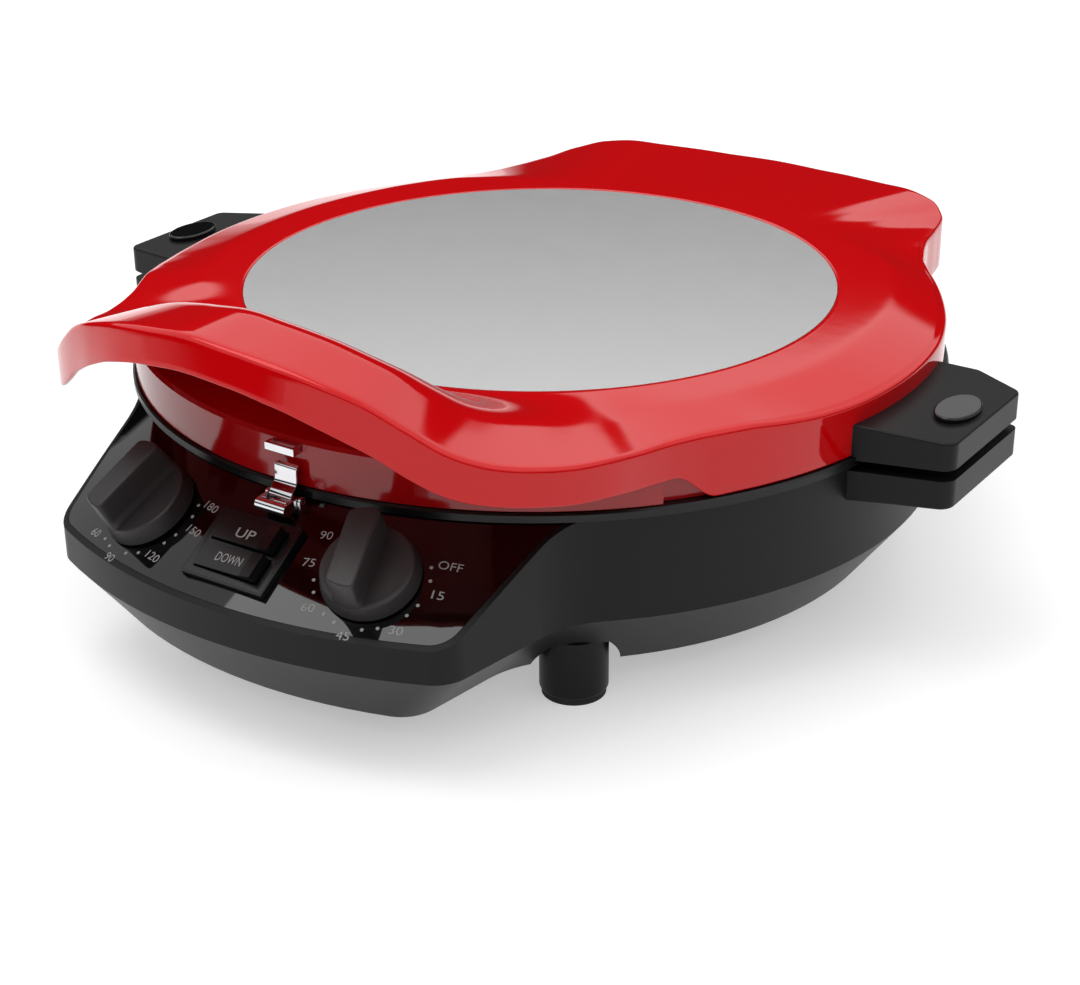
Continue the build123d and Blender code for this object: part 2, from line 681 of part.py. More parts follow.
# Base housing: walls, bevelled skirt, deck under the panel, foot pockets and screw lugs
with BuildPart() as base_housing:
    add(housing_solid)
    add(housing_room, mode=Mode.SUBTRACT)
    add(panel_seat, mode=Mode.SUBTRACT)
    add(pocket_rooms, mode=Mode.SUBTRACT)
    add(foot_pilots, mode=Mode.SUBTRACT)
    add(lug_pilots, mode=Mode.SUBTRACT)
    add(shaft_holes, mode=Mode.SUBTRACT)
    add(switch_hole, mode=Mode.SUBTRACT)
    add(gland_hole, mode=Mode.SUBTRACT)
    add(lower_screw_holes, mode=Mode.SUBTRACT)
    add(hinge_screw_holes, mode=Mode.SUBTRACT)
save(base_housing, "base_housing")

# Control panel: a thin strip of the cone, set into the housing's deck
with BuildPart() as control_panel:
    add(panel_sheet)
    add(shaft_holes, mode=Mode.SUBTRACT)
    add(switch_window, mode=Mode.SUBTRACT)
save(control_panel, "control_panel")

# Bottom cover: a vented plate held up against the lugs by four screws
lug_holes = posts(LUG_PLACES, SCREW_R + PIN_FIT, 0, PLATE_TOP_Z)
lug_sinks = posts(LUG_PLACES, SCREW_HEAD_R + PIN_FIT, 0, FOOT_HEIGHT + SCREW_HEAD)
pocket_clearance = posts(FOOT_PLACES, pocket_r + FOOT_POCKET_WALL + COVER_GAP, 0, WALL_TOP_Z)
with BuildPart() as bottom_cover:
    with BuildSketch(level(FOOT_HEIGHT)):
        add(foot_outline(HOUSING_WALL + COVER_GAP))
        with GridLocations(VENT_PITCH, VENT_PITCH, VENT_COUNT, 1):
            SlotOverall(VENT_LENGTH, VENT_WIDTH, rotation=90, mode=Mode.SUBTRACT)
    extrude(amount=COVER_PLATE)
    add(pocket_clearance, mode=Mode.SUBTRACT)
    add(lug_holes, mode=Mode.SUBTRACT)
    add(lug_sinks, mode=Mode.SUBTRACT)
save(bottom_cover, "bottom_cover")

with BuildPart() as bottom_screws:
    with BuildSketch(level(FOOT_HEIGHT)):
        with Locations(*LUG_PLACES):
            Circle(SCREW_HEAD_R)
    extrude(amount=SCREW_HEAD)
    with BuildSketch(level(FOOT_HEIGHT)):
        with Locations(*LUG_PLACES):
            Circle(SCREW_R)
    extrude(amount=COVER_PLATE + SCREW_REACH)
save(bottom_screws, "bottom_screws")

# Four feet in their pockets, each on one screw, with a rubber pad under it
for name, azimuth in FOOT_AZIMUTHS.items():
    with BuildPart() as foot:
        with BuildSketch(level(FOOT_PAD_THICKNESS)):
            with Locations(around(azimuth, FOOT_RING_R)):
                Circle(FOOT_R)
        extrude(amount=FOOT_TOP_Z - FOOT_PAD_THICKNESS)
        fillet(foot.edges().filter_by(GeomType.CIRCLE).group_by(Axis.Z)[0], FOOT_EDGE)
        with BuildSketch(level(FOOT_PAD_THICKNESS)):
            with Locations(around(azimuth, FOOT_RING_R)):
                Circle(FOOT_SCREW_HEAD_R + FOOT_SINK_GAP)
        extrude(amount=FOOT_SCREW_SINK, mode=Mode.SUBTRACT)
        with BuildSketch(level(FOOT_PAD_THICKNESS)):
            with Locations(around(azimuth, FOOT_RING_R)):
                Circle(FOOT_SCREW_R + PIN_FIT)
        extrude(amount=FOOT_TOP_Z, mode=Mode.SUBTRACT)
    save(foot, f"foot_{name}")

    with BuildPart() as foot_pad:
        with BuildSketch(level(0)):
            with Locations(around(azimuth, FOOT_RING_R)):
                Circle(FOOT_PAD_R)
        extrude(amount=FOOT_PAD_THICKNESS)
    save(foot_pad, f"foot_pad_{name}")

with BuildPart() as foot_screws:
    with BuildSketch(level(FOOT_PAD_THICKNESS + FOOT_SCREW_SINK)):
        with Locations(*FOOT_PLACES):
            Circle(FOOT_SCREW_HEAD_R)
    extrude(amount=-FOOT_SCREW_HEAD)
    with BuildSketch(level(FOOT_PAD_THICKNESS + FOOT_SCREW_SINK)):
        with Locations(*FOOT_PLACES):
            Circle(FOOT_SCREW_R)
    extrude(amount=FOOT_TOP_Z + FOOT_SCREW_REACH - FOOT_PAD_THICKNESS - FOOT_SCREW_SINK)
save(foot_screws, "foot_screws")

# Rim ring: closes the top of the housing and carries the pan on a ledge
LEDGE_Z = RIM_TOP_Z - RIM_LEDGE
with BuildPart() as rim_ring:
    with BuildSketch(upright(90)):
        with BuildLine():
            Polyline(
                (RIM_INNER_R, WALL_TOP_Z),
                (RIM_R, WALL_TOP_Z),
                (RIM_R, RIM_TOP_Z - RIM_EDGE),
                (RIM_R - RIM_EDGE, RIM_TOP_Z),
                (RIM_SEAT_R, RIM_TOP_Z),
                (RIM_SEAT_R, LEDGE_Z),
                (RIM_INNER_R, LEDGE_Z),
                close=True,
            )
        make_face()
    revolve(axis=COOKING_AXIS)
save(rim_ring, "rim_ring")

# Baking pan: a shallow dish whose flange lies on the ledge
pan_floor_z = LEDGE_Z - PAN_DEPTH
pan_wall_r = RIM_INNER_R - PAN_WALL_GAP
pan_skew = PAN_SHEET / 2
with BuildPart() as baking_pan:
    with BuildSketch(upright(90)):
        with BuildLine():
            Polyline(
                (0, pan_floor_z),
                (PAN_FLOOR_R, pan_floor_z),
                (pan_wall_r, LEDGE_Z),
                (RIM_SEAT_R - SEAT_GAP, LEDGE_Z),
                (RIM_SEAT_R - SEAT_GAP, LEDGE_Z + PAN_SHEET),
                (pan_wall_r - pan_skew, LEDGE_Z + PAN_SHEET),
                (PAN_FLOOR_R - pan_skew, pan_floor_z + PAN_SHEET),
                (0, pan_floor_z + PAN_SHEET),
                close=True,
            )
        make_face()
    revolve(axis=COOKING_AXIS)
save(baking_pan, "baking_pan")

# Lower heater: a reflector dish under the rim, a ring element and its clips
lower_element_z = pan_floor_z - ELEMENT_GAP - ELEMENT_TUBE_R
reflector_floor_z = lower_element_z - ELEMENT_TUBE_R - REFLECTOR_GAP
with BuildPart() as lower_element:
    with BuildSketch(upright(90)):
        with Locations((ELEMENT_R, lower_element_z)):
            Circle(ELEMENT_TUBE_R)
    revolve(axis=COOKING_AXIS)
save(lower_element, "lower_element")

with BuildPart() as lower_reflector:
    with BuildSketch(upright(90)):
        with BuildLine():
            Polyline(
                (0, reflector_floor_z - REFLECTOR_SHEET),
                (REFLECTOR_FLOOR_R, reflector_floor_z - REFLECTOR_SHEET),
                (REFLECTOR_MOUTH_R + REFLECTOR_SHEET, WALL_TOP_Z - REFLECTOR_SHEET),
                (REFLECTOR_FLANGE_R, WALL_TOP_Z - REFLECTOR_SHEET),
                (REFLECTOR_FLANGE_R, WALL_TOP_Z),
                (REFLECTOR_MOUTH_R, WALL_TOP_Z),
                (REFLECTOR_FLOOR_R - REFLECTOR_SHEET, reflector_floor_z),
                (0, reflector_floor_z),
                close=True,
            )
        make_face()
    revolve(axis=COOKING_AXIS)
save(lower_reflector, "lower_reflector")


def element_clips(element_z, bottom, top):
    """Three small ceramic clips that hold a ring element, cut to its tube."""
    clips = [
        block(ground_plane(azimuth, ELEMENT_R), CLIP_WIDTH, CLIP_LENGTH, bottom, top)
        for azimuth in CLIP_AZIMUTHS
    ]
    with BuildPart(mode=Mode.PRIVATE) as group:
        add(clips)
        with BuildSketch(upright(90)):
            with Locations((ELEMENT_R, element_z)):
                Circle(ELEMENT_TUBE_R + PIN_FIT)
        revolve(axis=COOKING_AXIS, mode=Mode.SUBTRACT)
    return group.part


lower_clip_top_z = lower_element_z + ELEMENT_TUBE_R + CLIP_TOP
lower_clip_solids = element_clips(lower_element_z, reflector_floor_z, lower_clip_top_z)
with BuildPart() as lower_element_clips:
    add(lower_clip_solids)
save(lower_element_clips, "lower_element_clips")

# Thermostat and timer under the deck, each with its shaft and knob
for name, plane in KNOB_PLANES.items():
    with BuildPart() as control:
        with BuildSketch(plane.offset(-DECK_DROP - CONTROL_DROP)):
            Rectangle(CONTROL_BODY, CONTROL_BODY)
        extrude(amount=-CONTROL_DEPTH)
        with BuildSketch(plane.offset(-DECK_DROP - CONTROL_DROP)):
            Circle(BUSH_FLANGE_R)
        extrude(amount=CONTROL_DROP - BUSH_GAP)
        with BuildSketch(plane.offset(-DECK_DROP)):
            Circle(BUSH_R)
        extrude(amount=DECK_DROP)
        with BuildSketch(plane):
            Circle(SHAFT_R + SHAFT_FIT)
        extrude(amount=-DECK_DROP - CONTROL_DROP - SHAFT_DEPTH - SHAFT_END_GAP, mode=Mode.SUBTRACT)
    save(control, "thermostat" if name == "temperature" else "timer")

    with BuildPart() as shaft:
        with BuildSketch(plane.offset(-DECK_DROP - CONTROL_DROP - SHAFT_DEPTH)):
            Circle(SHAFT_R)
        extrude(amount=DECK_DROP + CONTROL_DROP + SHAFT_DEPTH + KNOB_STAND_OFF + SHAFT_TOP)
    save(shaft, f"{name}_shaft")

    grip_length = 2 * (KNOB_R - KNOB_GRIP_INSET)
    with BuildPart() as knob:
        with BuildSketch(plane.offset(KNOB_STAND_OFF)):
            Circle(KNOB_R)
        extrude(amount=KNOB_SKIRT)
        fillet(knob.edges().filter_by(GeomType.CIRCLE).sort_by(Axis.Z)[-1], KNOB_EDGE)
        with BuildSketch(plane.offset(KNOB_STAND_OFF + KNOB_SKIRT - KNOB_EDGE)):
            with Locations((KNOB_GRIP_SHIFT, 0)):
                RectangleRounded(KNOB_GRIP_WIDTH, grip_length, KNOB_GRIP_WIDTH / 2 - KNOB_EDGE)
        extrude(amount=KNOB_HEIGHT - KNOB_STAND_OFF - KNOB_SKIRT + KNOB_EDGE, taper=KNOB_GRIP_TAPER)
        with BuildSketch(plane.offset(KNOB_STAND_OFF)):
            Circle(SHAFT_R + SHAFT_FIT)
        extrude(amount=SHAFT_TOP + SHAFT_END_GAP, mode=Mode.SUBTRACT)
    save(knob, f"{name}_knob")

# Rocker switch: a frame in the deck with two windows, and two rockers on side pins
rocker_pitch_half = (ROCKER_DIVIDER + ROCKER_LENGTH) / 2 + ROCKER_SIDE_GAP
rocker_pin_half = ROCKER_LENGTH / 2 + ROCKER_SIDE_GAP + ROCKER_PIN_DEPTH
rocker_bore_half = rocker_pitch_half + rocker_pin_half + ROCKER_PIN_END_GAP
rocker_above = ROCKER_PIVOT_DROP + SWITCH_PROUD + ROCKER_PROUD
rocker_below = ROCKER_THICKNESS - rocker_above


def rocker_plane(up_slope):
    """A plane square to the rockers' pins: x runs along a tilted rocker, y out, z down the slope."""
    turn = radians(ROCKER_TILT)
    pivot = SWITCH_PLANE.origin + SWITCH_PLANE.y_dir * up_slope - SWITCH_PLANE.z_dir * ROCKER_PIVOT_DROP
    along = SWITCH_PLANE.x_dir * cos(turn) + SWITCH_PLANE.z_dir * sin(turn)
    return Plane(origin=pivot, x_dir=along, z_dir=-SWITCH_PLANE.y_dir)


with BuildPart() as switch_frame:
    with BuildSketch(SWITCH_PLANE.offset(-PANEL_THICKNESS)):
        Rectangle(SWITCH_WIDTH, SWITCH_LENGTH)
    extrude(amount=PANEL_THICKNESS + SWITCH_PROUD)
    frame_faces = switch_frame.faces().sort_by(Axis(SWITCH_PLANE.origin, SWITCH_PLANE.z_dir))
    chamfer(frame_faces[-1].edges(), SWITCH_EDGE)
    with BuildSketch(SWITCH_PLANE.offset(-PANEL_THICKNESS)):
        Rectangle(SWITCH_BODY_WIDTH, SWITCH_BODY_LENGTH)
    extrude(amount=PANEL_THICKNESS - SWITCH_DEPTH)
    with BuildSketch(SWITCH_PLANE.offset(SWITCH_FLOOR - SWITCH_DEPTH)):
        with Locations((0, -rocker_pitch_half), (0, rocker_pitch_half)):
            Rectangle(ROCKER_WIDTH + 2 * ROCKER_END_GAP, ROCKER_LENGTH + 2 * ROCKER_SIDE_GAP)
    extrude(amount=SWITCH_DEPTH + SWITCH_PROUD, mode=Mode.SUBTRACT)
    with BuildSketch(rocker_plane(rocker_bore_half)):
        Circle(ROCKER_PIN_R + PIN_FIT)
    extrude(amount=2 * rocker_bore_half, mode=Mode.SUBTRACT)
save(switch_frame, "switch_frame")

for name, side in (("up", 1), ("down", -1)):
    with BuildPart() as rocker:
        with BuildSketch(rocker_plane(side * rocker_pitch_half + ROCKER_LENGTH / 2)):
            with BuildLine():
                Polyline(
                    (-ROCKER_WIDTH / 2, -rocker_below),
                    (ROCKER_WIDTH / 2, -rocker_below),
                    (ROCKER_WIDTH / 2, rocker_above),
                    (ROCKER_KINK_X, rocker_above - ROCKER_DISH),
                    (-ROCKER_WIDTH / 2, rocker_above),
                    close=True,
                )
            make_face()
        extrude(amount=ROCKER_LENGTH)
        with BuildSketch(rocker_plane(side * rocker_pitch_half + rocker_pin_half)):
            Circle(ROCKER_PIN_R)
        extrude(amount=2 * rocker_pin_half)
    save(rocker, f"{name}_rocker")

# Latch: a bracket on the panel, a lever that swings up, and a strap that the lever lifts
ear_face = LEVER_WIDTH / 2 + LATCH_SIDE_GAP
ear_low_z = cone_z(LEVER_PIVOT_R + LATCH_EAR_R) - LATCH_FOOT / 2
with BuildSketch() as ear_outline:
    with BuildLine():
        Polyline(
            (-LEVER_PIVOT_R - LATCH_EAR_R, ear_low_z),
            (-LEVER_PIVOT_R + LATCH_EAR_R, ear_low_z),
            (-LEVER_PIVOT_R + LATCH_EAR_R, LEVER_PIVOT_Z),
            (-LEVER_PIVOT_R - LATCH_EAR_R, LEVER_PIVOT_Z),
            close=True,
        )
    make_face()
    with Locations((-LEVER_PIVOT_R, LEVER_PIVOT_Z)):
        Circle(LATCH_EAR_R)

with BuildSketch() as base_outline:
    with BuildLine():
        Polyline(
            (-LATCH_BASE_OUTER_R, ear_low_z),
            (-LATCH_BASE_INNER_R, ear_low_z),
            (-LATCH_BASE_INNER_R, cone_z(LATCH_BASE_INNER_R) + LATCH_BASE),
            (-LATCH_BASE_OUTER_R, cone_z(LATCH_BASE_OUTER_R) + LATCH_BASE),
            close=True,
        )
    make_face()

with BuildSketch() as arm_outline:
    with BuildLine():
        Polyline(
            (-LEVER_PIVOT_R, LEVER_PIVOT_Z + LEVER_EYE_R),
            (-ROLL_RING_R, ROLL_Z + ROLL_R),
            (-ROLL_RING_R, ROLL_Z - ROLL_R),
            (-STRAP_PIVOT_R, STRAP_PIVOT_Z - LEVER_EYE_R),
            (-LEVER_PIVOT_R, LEVER_PIVOT_Z - LEVER_EYE_R),
            close=True,
        )
    make_face()
    with Locations((-LEVER_PIVOT_R, LEVER_PIVOT_Z), (-STRAP_PIVOT_R, STRAP_PIVOT_Z)):
        Circle(LEVER_EYE_R)

with BuildPart() as latch_bracket:
    with BuildSketch(SIDE.offset(LATCH_X - ear_face)):
        add(ear_outline.sketch)
    extrude(amount=-LATCH_EAR)
    with BuildSketch(SIDE.offset(LATCH_X + ear_face)):
        add(ear_outline.sketch)
    extrude(amount=LATCH_EAR)
    with BuildSketch(SIDE.offset(LATCH_X - ear_face)):
        add(base_outline.sketch)
    extrude(amount=2 * ear_face)
    with BuildSketch(SIDE.offset(LATCH_X - ear_face - LATCH_EAR)):
        with Locations((-LEVER_PIVOT_R, LEVER_PIVOT_Z)):
            Circle(LATCH_PIN_R)
    extrude(amount=2 * (ear_face + LATCH_EAR), mode=Mode.SUBTRACT)
    add(under_panel, mode=Mode.SUBTRACT)
save(latch_bracket, "latch_bracket")

with BuildPart() as lever_pin:
    with BuildSketch(SIDE.offset(LATCH_X - ear_face - LATCH_EAR)):
        with Locations((-LEVER_PIVOT_R, LEVER_PIVOT_Z)):
            Circle(LATCH_PIN_R)
    extrude(amount=2 * (ear_face + LATCH_EAR))
save(lever_pin, "lever_pin")

with BuildPart() as latch_lever:
    for side in (-1, 1):
        with BuildSketch(SIDE.offset(LATCH_X + side * (LEVER_WIDTH / 2))):
            add(arm_outline.sketch)
        extrude(amount=-side * LEVER_ARM)
    with BuildSketch(SIDE.offset(LATCH_X - LEVER_WIDTH / 2)):
        with Locations((-ROLL_RING_R, ROLL_Z)):
            Circle(ROLL_R)
    extrude(amount=LEVER_WIDTH)
    with BuildSketch(SIDE.offset(LATCH_X - LEVER_WIDTH / 2)):
        with Locations((-LEVER_PIVOT_R, LEVER_PIVOT_Z)):
            Circle(LATCH_PIN_R + PIN_FIT)
        with Locations((-STRAP_PIVOT_R, STRAP_PIVOT_Z)):
            Circle(LATCH_PIN_R)
    extrude(amount=LEVER_WIDTH, mode=Mode.SUBTRACT)
save(latch_lever, "latch_lever")

with BuildPart() as strap_pin:
    with BuildSketch(SIDE.offset(LATCH_X - LEVER_WIDTH / 2)):
        with Locations((-STRAP_PIVOT_R, STRAP_PIVOT_Z)):
            Circle(LATCH_PIN_R)
    extrude(amount=LEVER_WIDTH)
save(strap_pin, "strap_pin")

with BuildPart() as latch_strap:
    with BuildSketch(SIDE.offset(LATCH_X - STRAP_WIDTH / 2)):
        with BuildLine() as strap_line:
            Polyline(
                (-STRAP_PIVOT_R, STRAP_PIVOT_Z + STRAP_EYE_R / 2),
                (-STRAP_PIVOT_R, STRAP_BEND_LOW_Z),
                (-STRAP_FACE_R, STRAP_BEND_HIGH_Z),
                (-STRAP_FACE_R, STRAP_TOP_Z),
                (-STRAP_CURL_R, STRAP_CURL_Z),
            )
        trace(line_width=STRAP_THICKNESS)
        with Locations((-STRAP_PIVOT_R, STRAP_PIVOT_Z)):
            Circle(STRAP_EYE_R)
            Circle(LATCH_PIN_R + PIN_FIT, mode=Mode.SUBTRACT)
    extrude(amount=STRAP_WIDTH)
save(latch_strap, "latch_strap")

with BuildPart() as latch_keeper:
    with BuildSketch(level(KEEPER_Z - KEEPER_HEIGHT / 2)):
        with Locations((KEEPER_X, -SKIRT_R - KEEPER_REACH / 2)):
            Rectangle(KEEPER_WIDTH, KEEPER_REACH)
        with Locations((KEEPER_X, -SKIRT_R - (KEEPER_REACH - KEEPER_BAR) / 2)):
            Rectangle(KEEPER_WIDTH - 2 * KEEPER_BAR, KEEPER_REACH - KEEPER_BAR, mode=Mode.SUBTRACT)
    extrude(amount=KEEPER_HEIGHT)
save(latch_keeper, "latch_keeper")

# Handles: an upper pair on the lid and a lower pair on the housing
body_bulk = ring(0, BODY_R, FOOT_HEIGHT, WALL_TOP_Z)
lid_bulk = ring(0, RIM_R + HANDLE_RIM_GAP, WALL_TOP_Z - HANDLE_EDGE, LID_Z) + ring(0, SKIRT_R, LID_Z, DECK_Z)
with BuildSketch() as handle_outline:
    with BuildLine():
        Polyline(
            (HANDLE_ROOT_X, -HANDLE_ROOT_HALF),
            (HANDLE_TIP_X, HANDLE_FRONT_Y),
            (HANDLE_TIP_X, HANDLE_BACK_Y),
            (HANDLE_SHOULDER_X, HANDLE_ROOT_HALF),
            (HANDLE_ROOT_X, HANDLE_ROOT_HALF),
            close=True,
        )
    make_face()
    fillet(handle_outline.vertices().group_by(Axis.X)[1:], HANDLE_CORNER)

with BuildPart() as upper_handle_right:
    with BuildSketch(Plane.XZ.offset(-AXIS_Y - HANDLE_ROOT_HALF - CUT_OVERLAP)):
        with BuildLine():
            Polyline(
                (HANDLE_ROOT_X, UPPER_HANDLE_TOP_Z),
                (HANDLE_TIP_X, UPPER_HANDLE_TOP_Z),
                (HANDLE_TIP_X, UPPER_HANDLE_TIP_Z),
                (HANDLE_ROOT_X, UPPER_HANDLE_ROOT_Z),
                close=True,
            )
        make_face()
    extrude(amount=2 * (HANDLE_ROOT_HALF + CUT_OVERLAP))
    with BuildSketch(level(0)):
        add(handle_outline.sketch)
    extrude(amount=DECK_Z, mode=Mode.INTERSECT)
    fillet(upper_handle_right.faces().sort_by(Axis.Z)[-1].edges(), HANDLE_EDGE)
    add(lid_bulk, mode=Mode.SUBTRACT)
    add(upper_screw_holes, mode=Mode.SUBTRACT)
save(upper_handle_right, "upper_handle_right")

with BuildPart() as lower_handle_right:
    with BuildSketch(Plane.XZ.offset(-AXIS_Y - HANDLE_ROOT_HALF - CUT_OVERLAP)):
        with BuildLine():
            Polyline(
                (HANDLE_ROOT_X, LOWER_HANDLE_TOP_ROOT_Z),
                (HANDLE_TIP_X, LOWER_HANDLE_TOP_TIP_Z),
                (HANDLE_TIP_X, LOWER_HANDLE_TIP_Z),
                (HANDLE_ROOT_X, LOWER_HANDLE_ROOT_Z),
                close=True,
            )
        make_face()
    extrude(amount=2 * (HANDLE_ROOT_HALF + CUT_OVERLAP))
    with BuildSketch(level(0)):
        add(handle_outline.sketch)
    extrude(amount=DECK_Z, mode=Mode.INTERSECT)
    fillet(lower_handle_right.faces().sort_by(Axis.Z)[0].edges(), HANDLE_EDGE)
    add(body_bulk, mode=Mode.SUBTRACT)
    add(lower_screw_holes, mode=Mode.SUBTRACT)
save(lower_handle_right, "lower_handle_right")

with BuildPart() as handle_pad_right:
    with BuildSketch(level(UPPER_HANDLE_TOP_Z)):
        with Locations((HANDLE_PAD_X, HANDLE_PAD_Y)):
            Ellipse(HANDLE_PAD_WIDTH / 2, HANDLE_PAD_LENGTH / 2)
    extrude(amount=HANDLE_PAD_HEIGHT)
    fillet(handle_pad_right.faces().sort_by(Axis.Z)[-1].edges(), HANDLE_PAD_EDGE)
save(handle_pad_right, "handle_pad_right")

for name, right_piece in (
    ("upper_handle_left", upper_handle_right),
    ("lower_handle_left", lower_handle_right),
    ("handle_pad_left", handle_pad_right),
):
    with BuildPart() as left_piece:
        mirror(right_piece.part, about=Plane.YZ)
    save(left_piece, name)

upper_screw_solids = handle_screws(UPPER_SCREW_Z, upper_seat_x)
with BuildPart() as upper_handle_screws:
    add(upper_screw_solids)
save(upper_handle_screws, "upper_handle_screws")

lower_screw_solids = handle_screws(LOWER_SCREW_Z, lower_seat_x)
with BuildPart() as lower_handle_screws:
    add(lower_screw_solids)
save(lower_handle_screws, "lower_handle_screws")

# Hinge: a bracket on the back wall, a pin, and an arm on the lid's shell
shell_bulk = ring(0, SHELL_R, WALL_TOP_Z, DECK_Z)
hinge_lug_face = HINGE_ARM_HALF + HINGE_GAP
hinge_root = BODY_R - HOUSING_WALL
hinge_low_z = HINGE_Z - HINGE_BLOCK_DROP
hinge_arm_low_z = LID_Z + HINGE_ARM_GAP
hinge_arm_high_z = hinge_arm_low_z + HINGE_ARM_HEIGHT


def hub_point(angle):
    """A point on the hinge hub's circle in the side plane."""
    return (HINGE_RING_R + HINGE_HUB_R * cos(radians(angle)), HINGE_Z + HINGE_HUB_R * sin(radians(angle)))


with BuildPart() as hinge_bracket:
    for side in (-1, 1):
        with BuildSketch(SIDE.offset(side * hinge_lug_face)):
            with BuildLine():
                Polyline(
                    (hinge_root, hinge_low_z),
                    (hinge_root, hinge_low_z + HINGE_WEB_HEIGHT),
                    hub_point(HINGE_WEB_TOP_ANGLE),
                    hub_point(HINGE_WEB_LOW_ANGLE),
                    close=True,
                )
            make_face()
            with Locations((HINGE_RING_R, HINGE_Z)):
                Circle(HINGE_HUB_R)
        extrude(amount=side * HINGE_LUG)
    with BuildSketch(SIDE.offset(-hinge_lug_face)):
        with BuildLine():
            Polyline(
                (hinge_root, hinge_low_z),
                (hinge_root, hinge_low_z + HINGE_WEB_HEIGHT),
                (HINGE_RING_R - HINGE_HUB_R - HINGE_WEB_GAP, hinge_low_z + HINGE_WEB_HEIGHT),
                (HINGE_RING_R - HINGE_HUB_R - HINGE_WEB_GAP, hinge_low_z + HINGE_HUB_R),
                close=True,
            )
        make_face()
    extrude(amount=2 * hinge_lug_face)
    with BuildSketch(SIDE.offset(-hinge_lug_face - HINGE_LUG)):
        with Locations((HINGE_RING_R, HINGE_Z)):
            Circle(HINGE_PIN_R)
    extrude(amount=2 * (hinge_lug_face + HINGE_LUG), mode=Mode.SUBTRACT)
    add(body_bulk, mode=Mode.SUBTRACT)
    add(hinge_screw_holes, mode=Mode.SUBTRACT)
save(hinge_bracket, "hinge_bracket")

with BuildPart() as hinge_pin:
    with BuildSketch(SIDE.offset(-hinge_lug_face - HINGE_LUG)):
        with Locations((HINGE_RING_R, HINGE_Z)):
            Circle(HINGE_PIN_R)
    extrude(amount=2 * (hinge_lug_face + HINGE_LUG))
save(hinge_pin, "hinge_pin")

hinge_head_solids = hinge_rods(HANDLE_SCREW_HEAD_R, 0, HANDLE_SCREW_HEAD)
hinge_shank_solids = hinge_rods(HANDLE_SCREW_R, -HINGE_SCREW_DEPTH, HANDLE_SCREW_HEAD / 2)
with BuildPart() as hinge_screws:
    add(hinge_head_solids)
    add(hinge_shank_solids)
save(hinge_screws, "hinge_screws")

with BuildPart() as hinge_arm:
    with BuildSketch(SIDE.offset(-HINGE_ARM_HALF)):
        with BuildLine():
            Polyline(
                (hinge_root, hinge_arm_low_z),
                (HINGE_RING_R - HINGE_HUB_R, hinge_arm_low_z),
                (HINGE_RING_R - HINGE_HUB_R, HINGE_Z),
                (HINGE_RING_R + HINGE_HUB_R, HINGE_Z),
                (HINGE_RING_R, hinge_arm_high_z),
                (hinge_root, hinge_arm_high_z),
                close=True,
            )
        make_face()
        with Locations((HINGE_RING_R, HINGE_Z)):
            Circle(HINGE_HUB_R)
            Circle(HINGE_PIN_R + PIN_FIT, mode=Mode.SUBTRACT)
    extrude(amount=2 * HINGE_ARM_HALF)
    add(shell_bulk, mode=Mode.SUBTRACT)
save(hinge_arm, "hinge_arm")

# Lid shell: skirt, sloping shoulder and deck, with a fuller skirt under the visor
deck_top_z = DECK_Z - SHELL_TOP_DROP
ledge_z = DECK_Z - DISC_THICKNESS
ledge_under_z = ledge_z - COVER_LEDGE_THICKNESS
plate_rim_z = LID_Z + LID_PLATE_LIFT
plate_top_z = plate_rim_z + LID_PLATE_RISE + LID_PLATE_SHEET
plate_rim_r = SHELL_R - SHELL_WALL - COVER_GAP
post_places = [around(azimuth, LID_POST_RING_R) for azimuth in LID_POST_AZIMUTHS]
shell_ring_r = DISC_R - DISC_LEDGE
shell_ring = ring(shell_ring_r, shell_ring_r + SHELL_RING_WIDTH, deck_top_z, ledge_under_z)
lid_posts = posts(post_places, LID_POST_R, plate_top_z, deck_top_z - SHELL_WALL + LID_POST_ROOT)
lid_pilot_top_z = plate_top_z + SCREW_REACH + SCREW_GAP
lid_post_pilots = posts(post_places, SCREW_R + PIN_FIT, plate_top_z - CUT_OVERLAP, lid_pilot_top_z)
lid_post_holes = posts(post_places, SCREW_R + PIN_FIT, plate_rim_z, DECK_Z)
chamfer_r = SHELL_R - SHELL_CHAMFER_RUN
chamfer_z = SHELL_CHAMFER_Z + SHELL_CHAMFER_RISE
